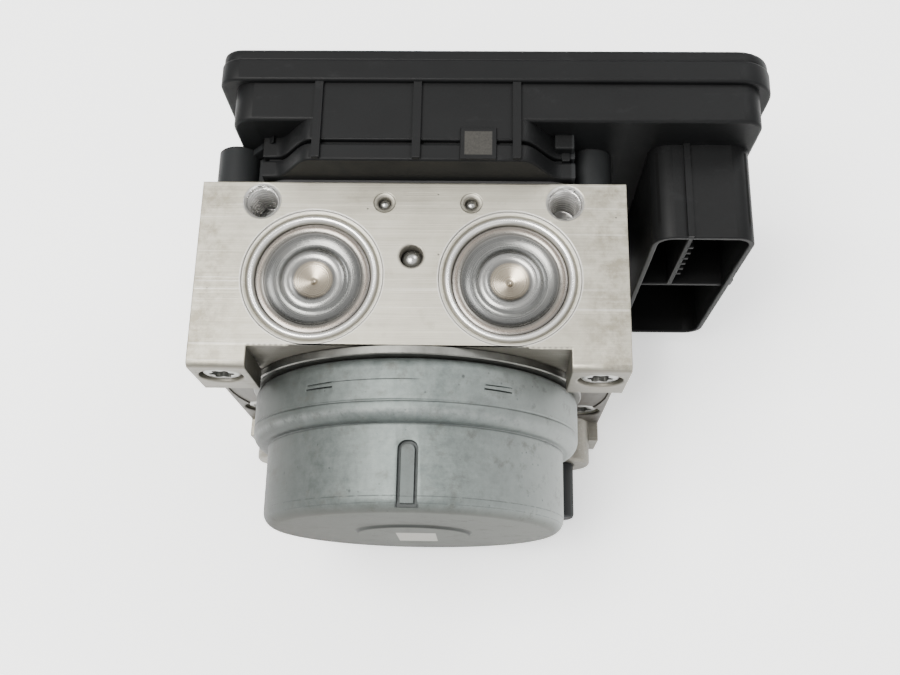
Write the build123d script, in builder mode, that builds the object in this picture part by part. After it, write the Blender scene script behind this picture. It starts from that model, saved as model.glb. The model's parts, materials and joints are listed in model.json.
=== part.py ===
"""Anti-lock brake hydraulic unit: valve block, pump motor, accumulators, valves and electronic controller.

Millimetres. +Z is up, with the accumulators on top. +Y points from the motor to the controller, +X to the
controller's plug side. The origin is the centre of the valve block's flat underside, below the pump's axis.
"""

import math
import os

from build123d import *

os.makedirs("parts", exist_ok=True)

# ---------------------------------------------------------------------------------------------------------
# Driving dimensions
# ---------------------------------------------------------------------------------------------------------

# Clearances
running_gap = 0.04  # radial, between a sliding or turning part and its bore
seat_gap = 0.02  # radial, between a pressed or screwed-in part and its bore
rest_gap = 0.3  # between faces of parts that move apart
air_gap = 0.6  # between armature and magnets
tappet_gap = 0.1  # between the pump pistons and the eccentric's ring
overcut = 1.0  # how far a cut runs past the face that it opens

# Valve block
block_width = 100.0
block_depth = 40.5
block_height = 87.0
block_edge = 0.5
foot_width = 13.35
foot_height = 19.4
foot_depth = 5.0
foot_edge_radius = 1.5
pad_width = 22.0
pad_height = 12.5
spotface_radius = 49.0
spotface_depth = 0.4
pump_chamber_radius = 13.0
pump_chamber_depth = 25.2

# Threaded mounting holes in the top face
mount_hole_radius = 3.4
mount_hole_depth = 14.0
mount_hole_chamfer = 1.3
mount_hole_side = 14.4  # from the block's side
mount_hole_inset = 4.9  # from the controller face

# Brake line ports
master_port_radius = 5.4
master_port_depth = 15.0
master_port_side = 13.0  # from the block's side
master_port_height = 10.7
master_boss_radius = 10.4
master_boss_depth = 12.0
wheel_port_radius = 4.5
wheel_port_depth = 13.0
wheel_port_pitch = 23.0
wheel_port_count = 4
port_chamfer = 0.9
port_plug_radius = 5.8
port_plug_length = 15.0
port_plug_insert = 8.0
port_plug_wall = 1.4
port_plug_edge = 1.1

# Accumulators
accumulator_side = 27.23  # from the block's side
accumulator_offset = -3.35  # along Y from the pump's axis
accumulator_ring_radius = 16.36
accumulator_ring_depth = 0.35
accumulator_lip_radius = 15.2
accumulator_lip_depth = 1.3
cap_radius = 13.4
cap_seat_depth = 6.0
cap_wall = 1.5
cap_rim_drop = 1.3  # from the block's top to the cap's rim
cap_ring_inner_radius = 11.6
cap_valley_radius = 8.2
cap_valley_drop = 1.5
cap_dome_radius = 6.2
cap_dome_rise = 0.9
cap_dimple_radius = 4.5
cap_dimple_depth = 2.0
cap_dimple_edge = 0.225  # from the dome down to the dimple's edge
cap_skin_slopes = ((-1, -0.6), (-1, -0.8))  # at the rim and at the dimple
chamber_radius = 12.0
chamber_depth = 23.5
accumulator_piston_height = 7.0
accumulator_piston_floor = 2.0
accumulator_piston_wall = 2.2
accumulator_piston_recess = 0.8  # in the floor, inside the spring
accumulator_seal_width = 2.2
accumulator_seal_depth = 1.5
seal_edge = 0.4
accumulator_spring_radius = 7.6
accumulator_spring_turns = 4.0
accumulator_wire = 1.4

# Ball plugs that close the drilled galleries
small_ball_radius = 1.45
small_ball_seat_radius = 1.5
small_ball_sink = 2.2
small_ball_left = -6.7
small_ball_right = 13.7
small_ball_inset = 5.1  # from the controller face
small_stake_radius = 2.5
large_ball_radius = 2.5
large_ball_seat_radius = 2.6
large_ball_sink = 3.6
large_ball_offset = 1.7  # along Y
gallery_depth = 20.0
large_gallery_depth = 10.0
stake_depth = 0.25

# Pump
pump_height = 46.0  # of the motor's axis above the underside
pump_piston_radius = 4.0
pump_piston_length = 21.7
pump_eccentricity = 1.2
eccentric_journal_radius = 5.0
eccentric_ring_radius = 8.5
eccentric_width = 8.0
pump_guide_length = 17.0
pump_spring_bore_radius = 5.5
pump_plug_radius = 8.0
pump_plug_length = 8.0
pump_plug_socket = 6.0  # across flats
pump_plug_socket_depth = 3.0
pump_seal_radius = 5.25
pump_seal_width = 2.0
pump_seal_inset = 3.0
pump_spring_radius = 3.2
pump_spring_turns = 4.5
pump_wire = 0.8

# Motor
motor_flange_radius = 42.0
motor_flange_thickness = 1.75
flange_hub_radius = 12.9
flange_hub_length = 9.0
flange_hub_floor = 1.0
can_radius = 41.0
can_neck_radius = 36.6
can_edge_length = 3.9
can_shoulder_length = 11.3
can_bead_length = 3.25
can_small_radius = 37.2
can_length = 33.95
can_front_radius = 3.4
can_edge_bulge = (0.3, 0.66)  # where the neck's arc passes: shares of its length and of its height
can_bead_bulge = (0.62, 0.3)  # the same for the bead's arc
can_wall = 1.6
can_clearance = 1.2  # kept free around the can by the pads and bosses
can_boss_radius = 13.8
can_boss_height = 0.7
can_slot_width = 5.0
can_slot_length = 15.0
can_slot_depth = 1.1
can_slot_offset = 0.4
can_tab_width = 7.6
can_tab_length = 1.5
can_tab_angle = 30.0
can_tab_inset = 5.0
can_tab_depth = 0.5
shaft_radius = 4.0
shaft_tip_radius = 3.0
shaft_tip_length = 2.6
shaft_end_gap = 1.5  # beyond the shaft's tip
bearing_radius = 11.0
bearing_width = 7.0
bearing_race = 1.7
bearing_ball_radius = 1.5
bearing_ball_count = 8
bush_radius = 7.5
bush_length = 4.0
magnet_thickness = 6.0
magnet_count = 4
magnet_gap_angle = 24.0
magnet_length = 18.0
core_length = 14.0
core_slots = 10
core_slot_width = 3.2
core_slot_depth = 9.0
winding_inner_radius = 12.0
winding_outer_radius = 25.0
winding_length = 3.4
commutator_radius = 9.0
commutator_length = 6.0
commutator_slot_width = 0.6
commutator_slot_depth = 0.8
brush_plate_thickness = 2.0
brush_plate_radius = 33.0
brush_width = 4.0
brush_height = 4.6
brush_length = 11.0
brush_box_wall = 0.8
brush_box_overhang = 6.0
contact_drop = 17.0  # below the block's top
contact_sleeve_radius = 3.4
contact_bore_radius = 3.5
contact_pin_side = 1.4
contact_pin_spacing = 3.4
contact_slot = 4.2  # height of the housing's slot for the two contacts
contact_sleeve_overhang = 6.0  # beyond the controller face

# Solenoid valves
valve_pitch = 17.0
valve_columns = 4
valve_offset = 1.0  # of the columns' middle along X
outlet_row_cover = 1.8  # metal between the accumulators and the upper valves
inlet_row_height = 27.0
valve_radius = 5.2
valve_depth = 13.5
valve_dome_radius = 3.1
valve_dome_length = 14.0
valve_bore_radius = 2.1
valve_plunger_radius = 2.06
valve_plunger_length = 19.0
valve_stroke = 0.3
coil_radius = 6.9
coil_length = 11.0
yoke_width = 16.4
yoke_wall = 1.2
valve_orifice_radius = 0.8
valve_dome_wall = 1.0
coil_pin_side = 0.8
coil_pin_spacing = 7.0
coil_pin_slot = 2.4  # side of the housing's slots for these pins
yoke_notch_width = 1.6
yoke_notch_height = 3.2

# Fixing screws, from the motor side through the block into the controller
screw_side = 6.4  # from the block's side
upper_screw_drop = 8.6  # below the block's top
lower_screw_height = 27.0
screw_radius = 2.5
screw_hole_radius = 3.1
screw_head_radius = 4.5
screw_head_height = 4.4
screw_socket = 5.0  # across flats
screw_socket_depth = 2.4
screw_counterbore_radius = 5.1
screw_counterbore_depth = 5.0
screw_engagement = 9.0

# Controller housing
gasket_thickness = 0.8
gasket_width = 2.6
bowl_margin = 3.3  # from the outer yokes to the outer face of the bowl
bowl_bottom = 12.6
bowl_radius = 6.0
bowl_wall = 2.2
hump_left = -23.6
hump_right = 25.6
hump_front_wall = 1.8
hump_ease = 0.4  # share of the rise at which the curved ends leave level and upright
hump_shoulder_rise = 1.2  # above the block's top
box_left = -42.4
box_right = 81.0
box_bottom = 10.4
box_rise = 10.4  # above the block's top
box_front = 31.2
box_radius = 5.0
box_wall = 2.2
rim_left = -46.0
rim_right = 84.3
rim_bottom = 8.2
rim_rise = 11.8  # above the block's top
rim_front = 40.9
rim_back = 46.6
rim_left_radius = 5.0
rim_right_radius = 9.0
tub_floor = 36.5  # end of the coil space
tub_wall = 1.5
boss_radius = 5.2
groove_offset = 4.2  # from the bowl's front face
groove_width = 0.9
groove_depth = 1.4
rib_width = 1.4
rib_height = 0.9
rib_pitch = 23.0
rib_centre = 1.0
post_radius = 2.4
lid_thickness = 2.9
lid_inset = 0.35
lid_edge_radius = 1.3
lid_tongue = 1.5
lid_tongue_wall = 1.4

# Plug socket
socket_left = 56.3
socket_right = 80.3
socket_bottom = 12.5
socket_drop = 1.0  # below the block's top
socket_mouth = 7.25
socket_radius = 5.0
socket_wall = 1.4
socket_floor = 29.0
divider_x = 65.3
divider_height = 51.0
divider_wall = 1.3
divider_recess = 1.2
divider_rib_count = 6
divider_rib_pitch = 3.5
divider_rib_size = 1.0
socket_rib_width = 1.5
socket_rib_height = 0.9
latch_length = 2.4
latch_height = 3.4
latch_width = 1.9
pin_tip = 16.0
small_pin = 0.8
power_pin_width = 4.8
small_pin_pitch = 3.5
small_pin_rows = 8
power_pin_pitch = 8.0
first_power_pin = 4.8  # above the socket's floor side
power_pin_count = 4
pin_margin = 3.0  # from the partition to the first row

# Circuit board
board_inset = 3.2  # from the box's outer wall
board_back = 43.1
board_thickness = 1.6
board_radius = 3.0
post_inset = 8.4  # from the box's top and bottom
left_post_x = -33.0
right_post_x = 46.0
back_components = (  # X, Z, width, height and thickness of each chip on the side facing the lid
    (-8.0, 48.0, 20.0, 20.0, 1.4),
    (24.0, 62.0, 12.0, 9.0, 1.2),
    (24.0, 40.0, 9.0, 9.0, 1.2),
    (-30.0, 64.0, 6.0, 5.0, 1.0),
    (2.0, 76.0, 9.0, 5.0, 1.0),
)
front_components = (  # X, Z, width, height and thickness of each chip on the side facing the coils
    (2.0, 42.0, 12.0, 9.0, 2.2),
    (-24.0, 42.0, 10.0, 9.0, 2.2),
)
capacitor_places = ((51.5, 40.0), (51.5, 52.0), (51.5, 64.0))
capacitor_radius = 4.0
capacitor_length = 7.0

# ---------------------------------------------------------------------------------------------------------
# Planes, places and shared outlines
# ---------------------------------------------------------------------------------------------------------

motor_face = -block_depth / 2
ecu_face = block_depth / 2
foot_face = motor_face - foot_depth
housing_front = ecu_face + gasket_thickness
motor_axis = Axis((0, 0, pump_height), (0, 1, 0))
sides = {"left": -1, "right": 1}
accumulator_x = block_width / 2 - accumulator_side
mount_hole_x = block_width / 2 - mount_hole_side
master_port_x = block_width / 2 - master_port_side
screw_x = block_width / 2 - screw_side
upper_screw_height = block_height - upper_screw_drop
screw_heights = {"upper": upper_screw_height, "lower": lower_screw_height}
contact_z = block_height - contact_drop
outlet_row_height = block_height - chamber_depth - outlet_row_cover - valve_radius
hump_shoulder = block_height + hump_shoulder_rise
box_top = block_height + box_rise
rim_top = block_height + rim_rise
socket_top = block_height - socket_drop
valve_rows = {"outlet": outlet_row_height, "inlet": inlet_row_height}
row_reach = (valve_columns - 1) / 2 * valve_pitch
valve_xs = [valve_offset - row_reach + column * valve_pitch for column in range(valve_columns)]
bowl_left = valve_offset - row_reach - yoke_width / 2 - bowl_margin
bowl_right = valve_offset + row_reach + yoke_width / 2 + bowl_margin
wheel_port_xs = [(port - (wheel_port_count - 1) / 2) * wheel_port_pitch for port in range(wheel_port_count)]


def across(y):
    """A drawing plane across the unit at depth y: its x is X, its y is Z, and it faces the motor end."""
    return Plane.XZ.offset(-y)


def side_plane(side, x):
    """A drawing plane on the left (-1) or right (1) side at distance x, facing outwards."""
    return Plane(origin=(side * x, 0, 0), x_dir=(0, side, 0), z_dir=(side, 0, 0))


def box_between(low, high, mode=Mode.ADD):
    """A box from one corner to the other."""
    with Locations([tuple((a + b) / 2 for a, b in zip(low, high))]):
        Box(*(b - a for a, b in zip(low, high)), mode=mode)


def rounded_outline(left, right, bottom, top, left_radius, right_radius):
    """A closed sketch in X and Z with one corner radius on each side."""
    with BuildSketch() as outline:
        with BuildLine():
            FilletPolyline(
                (left, bottom),
                (right, bottom),
                (right, top),
                (left, top),
                radius=[left_radius, right_radius, right_radius, left_radius],
                close=True,
            )
        make_face()
    return outline.sketch


def bowl_outline(inset):
    """The coil bowl's outline, with the hump on top whose ends curve down to the shoulders."""
    left = bowl_left + inset
    right = bowl_right - inset
    top = box_top - inset
    shoulder = hump_shoulder - inset
    rise = top - shoulder
    with BuildSketch() as outline:
        with BuildLine():
            foot = FilletPolyline(
                (left, shoulder),
                (left, bowl_bottom + inset),
                (right, bowl_bottom + inset),
                (right, shoulder),
                radius=bowl_radius - inset,
            )
            right_end = Line(foot @ 1, (hump_right + rise - inset, shoulder))
            right_curve = Bezier(
                right_end @ 1,
                (hump_right + rise * hump_ease - inset, shoulder),
                (hump_right + rise * (1 - hump_ease) - inset, top),
                (hump_right - inset, top),
            )
            crown = Line(right_curve @ 1, (hump_left + inset, top))
            left_curve = Bezier(
                crown @ 1,
                (hump_left - rise * (1 - hump_ease) + inset, top),
                (hump_left - rise * hump_ease + inset, shoulder),
                (hump_left - rise + inset, shoulder),
            )
            Line(left_curve @ 1, foot @ 0)
        make_face()
    return outline.sketch


# ---------------------------------------------------------------------------------------------------------
# Valve block
# ---------------------------------------------------------------------------------------------------------

motor_clearance = can_radius + can_clearance
pump_guide_end = pump_chamber_radius + pump_guide_length
pump_plug_start = block_width / 2 - pump_plug_length
shaft_end = eccentric_width / 2 + shaft_tip_length
boss_front = motor_face - master_boss_depth

with BuildPart() as valve_block:
    with BuildSketch(Plane.XY):
        Rectangle(block_width, block_depth)
    extrude(amount=block_height)
    chamfer(valve_block.edges().filter_by(Axis.Z), block_edge)
    with BuildSketch(across(motor_face)):
        with Locations((0, pump_height)):
            Circle(spotface_radius)
    extrude(amount=-spotface_depth, mode=Mode.SUBTRACT)
    # Feet at the top corners, with a softened upper edge
    for side in sides.values():
        outer = side * block_width / 2
        inner = outer - side * foot_width
        foot_low, foot_high = sorted((outer, inner))
        box_between(
            (foot_low, foot_face, block_height - foot_height),
            (foot_high, motor_face + spotface_depth, block_height),
        )
    foot_edges = valve_block.edges().filter_by(Axis.X).group_by(Axis.Y)[0]
    fillet(foot_edges.group_by(Axis.Z)[-1], foot_edge_radius)
    # Pads and round bosses for the master cylinder ports at the bottom corners
    for side in sides.values():
        outer = side * block_width / 2
        inner = outer - side * pad_width
        pad_low, pad_high = sorted((outer, inner))
        box_between((pad_low, foot_face, 0), (pad_high, motor_face + spotface_depth, pad_height))
    with BuildSketch(across(motor_face + spotface_depth)):
        with Locations(*((side * master_port_x, master_port_height) for side in sides.values())):
            Circle(master_boss_radius)
    extrude(amount=master_boss_depth + spotface_depth)
    with BuildSketch(across(motor_face + spotface_depth)):
        with Locations((0, pump_height)):
            Circle(motor_clearance)
    extrude(amount=master_boss_depth + spotface_depth, mode=Mode.SUBTRACT)
    # Accumulator bores: turned ring, staked lip, cap seat and piston chamber
    for side in sides.values():
        with BuildSketch(Plane.XZ.offset(-accumulator_offset)):
            with BuildLine():
                Polyline(
                    (side * accumulator_x, block_height),
                    (side * (accumulator_x + accumulator_ring_radius), block_height),
                    (side * (accumulator_x + accumulator_ring_radius), block_height - accumulator_ring_depth),
                    (side * (accumulator_x + accumulator_lip_radius), block_height - accumulator_ring_depth),
                    (side * (accumulator_x + cap_radius), block_height - accumulator_lip_depth),
                    (side * (accumulator_x + cap_radius), block_height - cap_seat_depth),
                    (side * (accumulator_x + chamber_radius), block_height - cap_seat_depth),
                    (side * (accumulator_x + chamber_radius), block_height - chamber_depth),
                    (side * accumulator_x, block_height - chamber_depth),
                    close=True,
                )
            make_face()
        revolve(axis=Axis((side * accumulator_x, accumulator_offset, 0), (0, 0, 1)), mode=Mode.SUBTRACT)
    # Threaded mounting holes
    mount_hole_y = ecu_face - mount_hole_inset
    with Locations(*((side * mount_hole_x, mount_hole_y, block_height) for side in sides.values())):
        CounterSinkHole(mount_hole_radius, mount_hole_radius + mount_hole_chamfer, mount_hole_depth, 90)
    # Drilled galleries under the ball plugs, each with a shallow staking ring
    small_ball_y = ecu_face - small_ball_inset
    with Locations(*((x, small_ball_y, block_height) for x in (small_ball_left, small_ball_right))):
        CounterBoreHole(small_ball_seat_radius, small_stake_radius, stake_depth, gallery_depth)
    with Locations((0, large_ball_offset, block_height)):
        CounterSinkHole(large_ball_seat_radius, large_ball_seat_radius + stake_depth, large_gallery_depth, 90)
    # Brake line ports
    with Locations(Plane(origin=(0, boss_front, 0), x_dir=(1, 0, 0), z_dir=(0, -1, 0))):
        with Locations(*((side * master_port_x, master_port_height) for side in sides.values())):
            CounterSinkHole(master_port_radius, master_port_radius + port_chamfer, master_port_depth, 90)
    with Locations(Plane(origin=(0, 0, 0), x_dir=(1, 0, 0), z_dir=(0, 0, -1))):
        with Locations(*((x, 0) for x in wheel_port_xs)):
            CounterSinkHole(wheel_port_radius, wheel_port_radius + port_chamfer, wheel_port_depth, 90)
    # Pump chamber, end journal bore and the two cross bores
    with BuildSketch(across(motor_face)):
        with Locations((0, pump_height)):
            Circle(pump_chamber_radius)
    extrude(amount=-pump_chamber_depth, mode=Mode.SUBTRACT)
    with BuildSketch(across(0)):
        with Locations((0, pump_height)):
            Circle(shaft_tip_radius + running_gap)
    extrude(amount=-(shaft_end + shaft_end_gap), mode=Mode.SUBTRACT)
    for side in sides.values():
        with BuildSketch(side_plane(side, block_width / 2)):
            with Locations((0, pump_height)):
                Circle(pump_piston_radius + running_gap)
        extrude(amount=-block_width / 2, mode=Mode.SUBTRACT)
        with BuildSketch(side_plane(side, block_width / 2)):
            with Locations((0, pump_height)):
                Circle(pump_spring_bore_radius)
        extrude(amount=-(block_width / 2 - pump_guide_end), mode=Mode.SUBTRACT)
        with BuildSketch(side_plane(side, block_width / 2)):
            with Locations((0, pump_height)):
                Circle(pump_plug_radius)
        extrude(amount=-pump_plug_length, mode=Mode.SUBTRACT)
        with BuildSketch(side_plane(side, pump_chamber_radius + pump_seal_inset)):
            with Locations((0, pump_height)):
                Circle(pump_seal_radius)
        extrude(amount=pump_seal_width, mode=Mode.SUBTRACT)
    # Valve bores and the passage of the motor's contacts
    with BuildSketch(across(ecu_face)):
        with Locations(*((x, height) for height in valve_rows.values() for x in valve_xs)):
            Circle(valve_radius)
    extrude(amount=valve_depth, mode=Mode.SUBTRACT)
    with BuildSketch(across(ecu_face)):
        with Locations((0, contact_z)):
            Circle(contact_bore_radius)
    extrude(amount=block_depth, mode=Mode.SUBTRACT)
    # Screw passages, counterbored at the motor side
    for height in screw_heights.values():
        with BuildSketch(across(ecu_face)):
            with Locations(*((side * screw_x, height) for side in sides.values())):
                Circle(screw_hole_radius)
        extrude(amount=block_depth + foot_depth, mode=Mode.SUBTRACT)
    for height, face in ((upper_screw_height, foot_face), (lower_screw_height, motor_face)):
        with BuildSketch(across(face)):
            with Locations(*((side * screw_x, height) for side in sides.values())):
                Circle(screw_counterbore_radius)
        extrude(amount=-screw_counterbore_depth, mode=Mode.SUBTRACT)

valve_block.part.label = "valve_block"
export_step(valve_block.part, "parts/valve_block.step")

# ---------------------------------------------------------------------------------------------------------
# Accumulators: cap, piston, seal and spring, one set on each side
# ---------------------------------------------------------------------------------------------------------

chamber_floor = block_height - chamber_depth
piston_bottom = chamber_floor + rest_gap
spring_bottom = piston_bottom + accumulator_piston_floor
cap_rim = block_height - cap_rim_drop
cap_valley = cap_rim - cap_valley_drop
cap_dome = cap_valley + cap_dome_rise
cap_dimple = cap_dome - cap_dimple_depth
spring_top = cap_dimple - cap_wall - rest_gap

for name, side in sides.items():
    centre = side * accumulator_x
    cap_axis = Axis((centre, accumulator_offset, 0), (0, 0, 1))
    spring_plane = Plane(origin=(centre, accumulator_offset, spring_bottom))

    with BuildPart() as accumulator_cap:
        with BuildSketch(Plane.XZ.offset(-accumulator_offset)):
            with BuildLine():
                edge = centre + cap_radius - seat_gap
                skin = Spline(
                    (centre + cap_ring_inner_radius, cap_rim),
                    (centre + cap_valley_radius, cap_valley),
                    (centre + cap_dome_radius, cap_dome),
                    (centre + cap_dimple_radius, cap_dome - cap_dimple_edge),
                    tangents=cap_skin_slopes,
                )
                Line(skin @ 1, (centre, cap_dimple))
                Line((centre, cap_dimple), (centre, cap_dimple - cap_wall))
                Line((centre, cap_dimple - cap_wall), (centre + cap_dimple_radius, cap_valley - cap_wall))
                Line(
                    (centre + cap_dimple_radius, cap_valley - cap_wall),
                    (centre + cap_ring_inner_radius, cap_valley - cap_wall),
                )
                Polyline(
                    (centre + cap_ring_inner_radius, cap_valley - cap_wall),
                    (centre + cap_ring_inner_radius, block_height - cap_seat_depth),
                    (edge, block_height - cap_seat_depth),
                    (edge, cap_rim),
                    (centre + cap_ring_inner_radius, cap_rim),
                )
            make_face()
        revolve(axis=cap_axis)
    accumulator_cap.part.label = f"accumulator_cap_{name}"
    export_step(accumulator_cap.part, f"parts/accumulator_cap_{name}.step")

    piston_radius = chamber_radius - running_gap
    groove_bottom = piston_bottom + accumulator_piston_height / 2 - accumulator_seal_width / 2
    with BuildPart() as accumulator_piston:
        with Locations((centre, accumulator_offset, piston_bottom)):
            Cylinder(piston_radius, accumulator_piston_height, align=(Align.CENTER, Align.CENTER, Align.MIN))
        with Locations((centre, accumulator_offset, piston_bottom + accumulator_piston_height)):
            CounterBoreHole(
                accumulator_spring_radius - accumulator_wire - rest_gap,
                piston_radius - accumulator_piston_wall,
                accumulator_piston_height - accumulator_piston_floor,
                accumulator_piston_height - accumulator_piston_floor + accumulator_piston_recess,
            )
        with BuildSketch(Plane.XY.offset(groove_bottom)):
            with Locations((centre, accumulator_offset)):
                Circle(piston_radius)
                Circle(piston_radius - accumulator_seal_depth, mode=Mode.SUBTRACT)
        extrude(amount=accumulator_seal_width, mode=Mode.SUBTRACT)
    accumulator_piston.part.label = f"accumulator_piston_{name}"
    export_step(accumulator_piston.part, f"parts/accumulator_piston_{name}.step")

    with BuildPart() as accumulator_seal:
        with BuildSketch(Plane.XY.offset(groove_bottom + seat_gap)):
            with Locations((centre, accumulator_offset)):
                Circle(chamber_radius - seat_gap)
                Circle(piston_radius - accumulator_seal_depth + seat_gap, mode=Mode.SUBTRACT)
        extrude(amount=accumulator_seal_width - 2 * seat_gap)
        chamfer(accumulator_seal.edges().filter_by(GeomType.CIRCLE).group_by(SortBy.RADIUS)[-1], seal_edge)
    accumulator_seal.part.label = f"accumulator_seal_{name}"
    export_step(accumulator_seal.part, f"parts/accumulator_seal_{name}.step")

    spring_height = spring_top - spring_bottom - accumulator_wire
    with BuildPart() as accumulator_spring:
        with BuildLine(spring_plane.offset(accumulator_wire / 2)):
            coil = Helix(spring_height / accumulator_spring_turns, spring_height, accumulator_spring_radius)
        with BuildSketch(Plane(origin=coil @ 0, z_dir=coil % 0)):
            Rectangle(accumulator_wire, accumulator_wire)
        sweep(is_frenet=True)
    accumulator_spring.part.label = f"accumulator_spring_{name}"
    export_step(accumulator_spring.part, f"parts/accumulator_spring_{name}.step")

# ---------------------------------------------------------------------------------------------------------
# Ball plugs and port plugs
# ---------------------------------------------------------------------------------------------------------

with BuildPart() as closing_balls:
    for x in (small_ball_left, small_ball_right):
        with Locations((x, small_ball_y, block_height - small_ball_sink)):
            Sphere(small_ball_radius)
    with Locations((0, large_ball_offset, block_height - large_ball_sink)):
        Sphere(large_ball_radius)
closing_balls.part.label = "closing_balls"
export_step(closing_balls.part, "parts/closing_balls.step")

for name, side in sides.items():
    with BuildPart() as port_plug:
        with BuildSketch(Plane.XY.offset(master_port_height)):
            with BuildLine():
                x = side * master_port_x
                Polyline(
                    (x, boss_front - port_plug_length),
                    (x + port_plug_radius, boss_front - port_plug_length),
                    (x + port_plug_radius, boss_front),
                    (x + master_port_radius - seat_gap, boss_front),
                    (x + master_port_radius - seat_gap, boss_front + port_plug_insert),
                    (x + master_port_radius - port_plug_wall, boss_front + port_plug_insert),
                    (x + master_port_radius - port_plug_wall, boss_front - port_plug_length + port_plug_wall),
                    (x, boss_front - port_plug_length + port_plug_wall),
                    close=True,
                )
            make_face()
        revolve(axis=Axis((x, 0, master_port_height), (0, 1, 0)))
        plug_edges = port_plug.edges().filter_by(GeomType.CIRCLE).group_by(Axis.Y)
        fillet(plug_edges[0], port_plug_edge)
    port_plug.part.label = f"port_plug_{name}"
    export_step(port_plug.part, f"parts/port_plug_{name}.step")

# ---------------------------------------------------------------------------------------------------------
# Pump: piston, spring and seal on each side, and the two bore plugs
# ---------------------------------------------------------------------------------------------------------

piston_inner = eccentric_ring_radius + pump_eccentricity + tappet_gap
piston_outer = piston_inner + pump_piston_length
pump_spring_end = pump_plug_start - rest_gap

for name, side in sides.items():
    with BuildPart() as pump_piston:
        with BuildSketch(side_plane(side, piston_inner)):
            with Locations((0, pump_height)):
                Circle(pump_piston_radius)
        extrude(amount=pump_piston_length)
        chamfer(pump_piston.edges(), seal_edge)
    pump_piston.part.label = f"pump_piston_{name}"
    export_step(pump_piston.part, f"parts/pump_piston_{name}.step")

    with BuildPart() as pump_seal:
        with BuildSketch(side_plane(side, pump_chamber_radius + pump_seal_inset + seat_gap)):
            with Locations((0, pump_height)):
                Circle(pump_seal_radius - seat_gap)
                Circle(pump_piston_radius + seat_gap, mode=Mode.SUBTRACT)
        extrude(amount=pump_seal_width - 2 * seat_gap)
    pump_seal.part.label = f"pump_seal_{name}"
    export_step(pump_seal.part, f"parts/pump_seal_{name}.step")

    pump_spring_length = pump_spring_end - piston_outer - pump_wire
    pump_spring_start = (side * (piston_outer + pump_wire / 2), 0, pump_height)
    with BuildPart() as pump_spring:
        with BuildLine():
            pump_coil = Helix(
                pump_spring_length / pump_spring_turns,
                pump_spring_length,
                pump_spring_radius,
                center=pump_spring_start,
                direction=(side, 0, 0),
            )
        with BuildSketch(Plane(origin=pump_coil @ 0, z_dir=pump_coil % 0)):
            Rectangle(pump_wire, pump_wire)
        sweep(is_frenet=True)
    pump_spring.part.label = f"pump_spring_{name}"
    export_step(pump_spring.part, f"parts/pump_spring_{name}.step")

with BuildPart() as pump_plugs:
    for side in sides.values():
        with BuildSketch(side_plane(side, pump_plug_start)):
            with Locations((0, pump_height)):
                Circle(pump_plug_radius - seat_gap)
        extrude(amount=pump_plug_length - block_edge)
        with BuildSketch(side_plane(side, block_width / 2 - block_edge)):
            with Locations((0, pump_height)):
                RegularPolygon(pump_plug_socket / 2, 6, major_radius=False)
        extrude(amount=-pump_plug_socket_depth, mode=Mode.SUBTRACT)
pump_plugs.part.label = "pump_plugs"
export_step(pump_plugs.part, "parts/pump_plugs.step")

# ---------------------------------------------------------------------------------------------------------
# Motor: flange, can, magnets, armature, bearings and brushes
# ---------------------------------------------------------------------------------------------------------

flange_face = motor_face - motor_flange_thickness
can_front = flange_face - can_length
bearing_back = motor_face + flange_hub_length - flange_hub_floor

with BuildPart() as motor_flange:
    with BuildSketch(across(motor_face + spotface_depth)):
        with Locations((0, pump_height)):
            Circle(motor_flange_radius)
    extrude(amount=motor_flange_thickness + spotface_depth)
    with BuildSketch(across(motor_face + flange_hub_length)):
        with Locations((0, pump_height)):
            Circle(flange_hub_radius)
    extrude(amount=flange_hub_length)
    with BuildSketch(across(bearing_back)):
        with Locations((0, pump_height)):
            Circle(bearing_radius + seat_gap)
    extrude(amount=bearing_back - flange_face, mode=Mode.SUBTRACT)
    with BuildSketch(across(motor_face + flange_hub_length)):
        with Locations((0, pump_height)):
            Circle(bearing_radius - bearing_race)
        with Locations((0, contact_z)):
            Circle(contact_bore_radius)
    extrude(amount=flange_hub_length + motor_flange_thickness, mode=Mode.SUBTRACT)
motor_flange.part.label = "motor_flange"
export_step(motor_flange.part, "parts/motor_flange.step")


def can_section(inset):
    """Half of the can's section, from the flange to the front boss; inset gives the inside."""
    shoulder_end = flange_face - can_edge_length - can_shoulder_length + can_bead_length
    bead_end = shoulder_end - can_bead_length
    neck = pump_height + can_neck_radius - inset
    large = pump_height + can_radius - inset
    small = pump_height + can_small_radius - inset
    boss = pump_height + can_boss_radius - inset
    front = can_front + inset
    rounding = can_front_radius - inset
    edge_height = large - neck
    edge_middle = (flange_face - can_edge_length * can_edge_bulge[0], neck + edge_height * can_edge_bulge[1])
    bead_height = large - small
    bead_middle = (shoulder_end - can_bead_length * can_bead_bulge[0], large - bead_height * can_bead_bulge[1])
    with BuildSketch(Plane.YZ) as section:
        with BuildLine():
            edge = ThreePointArc((flange_face, neck), edge_middle, (flange_face - can_edge_length, large))
            barrel = Line(edge @ 1, (shoulder_end + inset / 2, large))
            bead = ThreePointArc(barrel @ 1, bead_middle, (bead_end + inset / 2, small))
            side = Line(bead @ 1, (front + rounding, small))
            corner = RadiusArc(side @ 1, (front, small - rounding), -rounding)
            face = Line(corner @ 1, (front, boss + can_boss_height))
            rim = Line(face @ 1, (front - can_boss_height, boss))
            nose = Line(rim @ 1, (front - can_boss_height, pump_height))
            Line(nose @ 1, (flange_face, pump_height))
            Line((flange_face, pump_height), edge @ 0)
        make_face()
    return section.sketch


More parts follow.
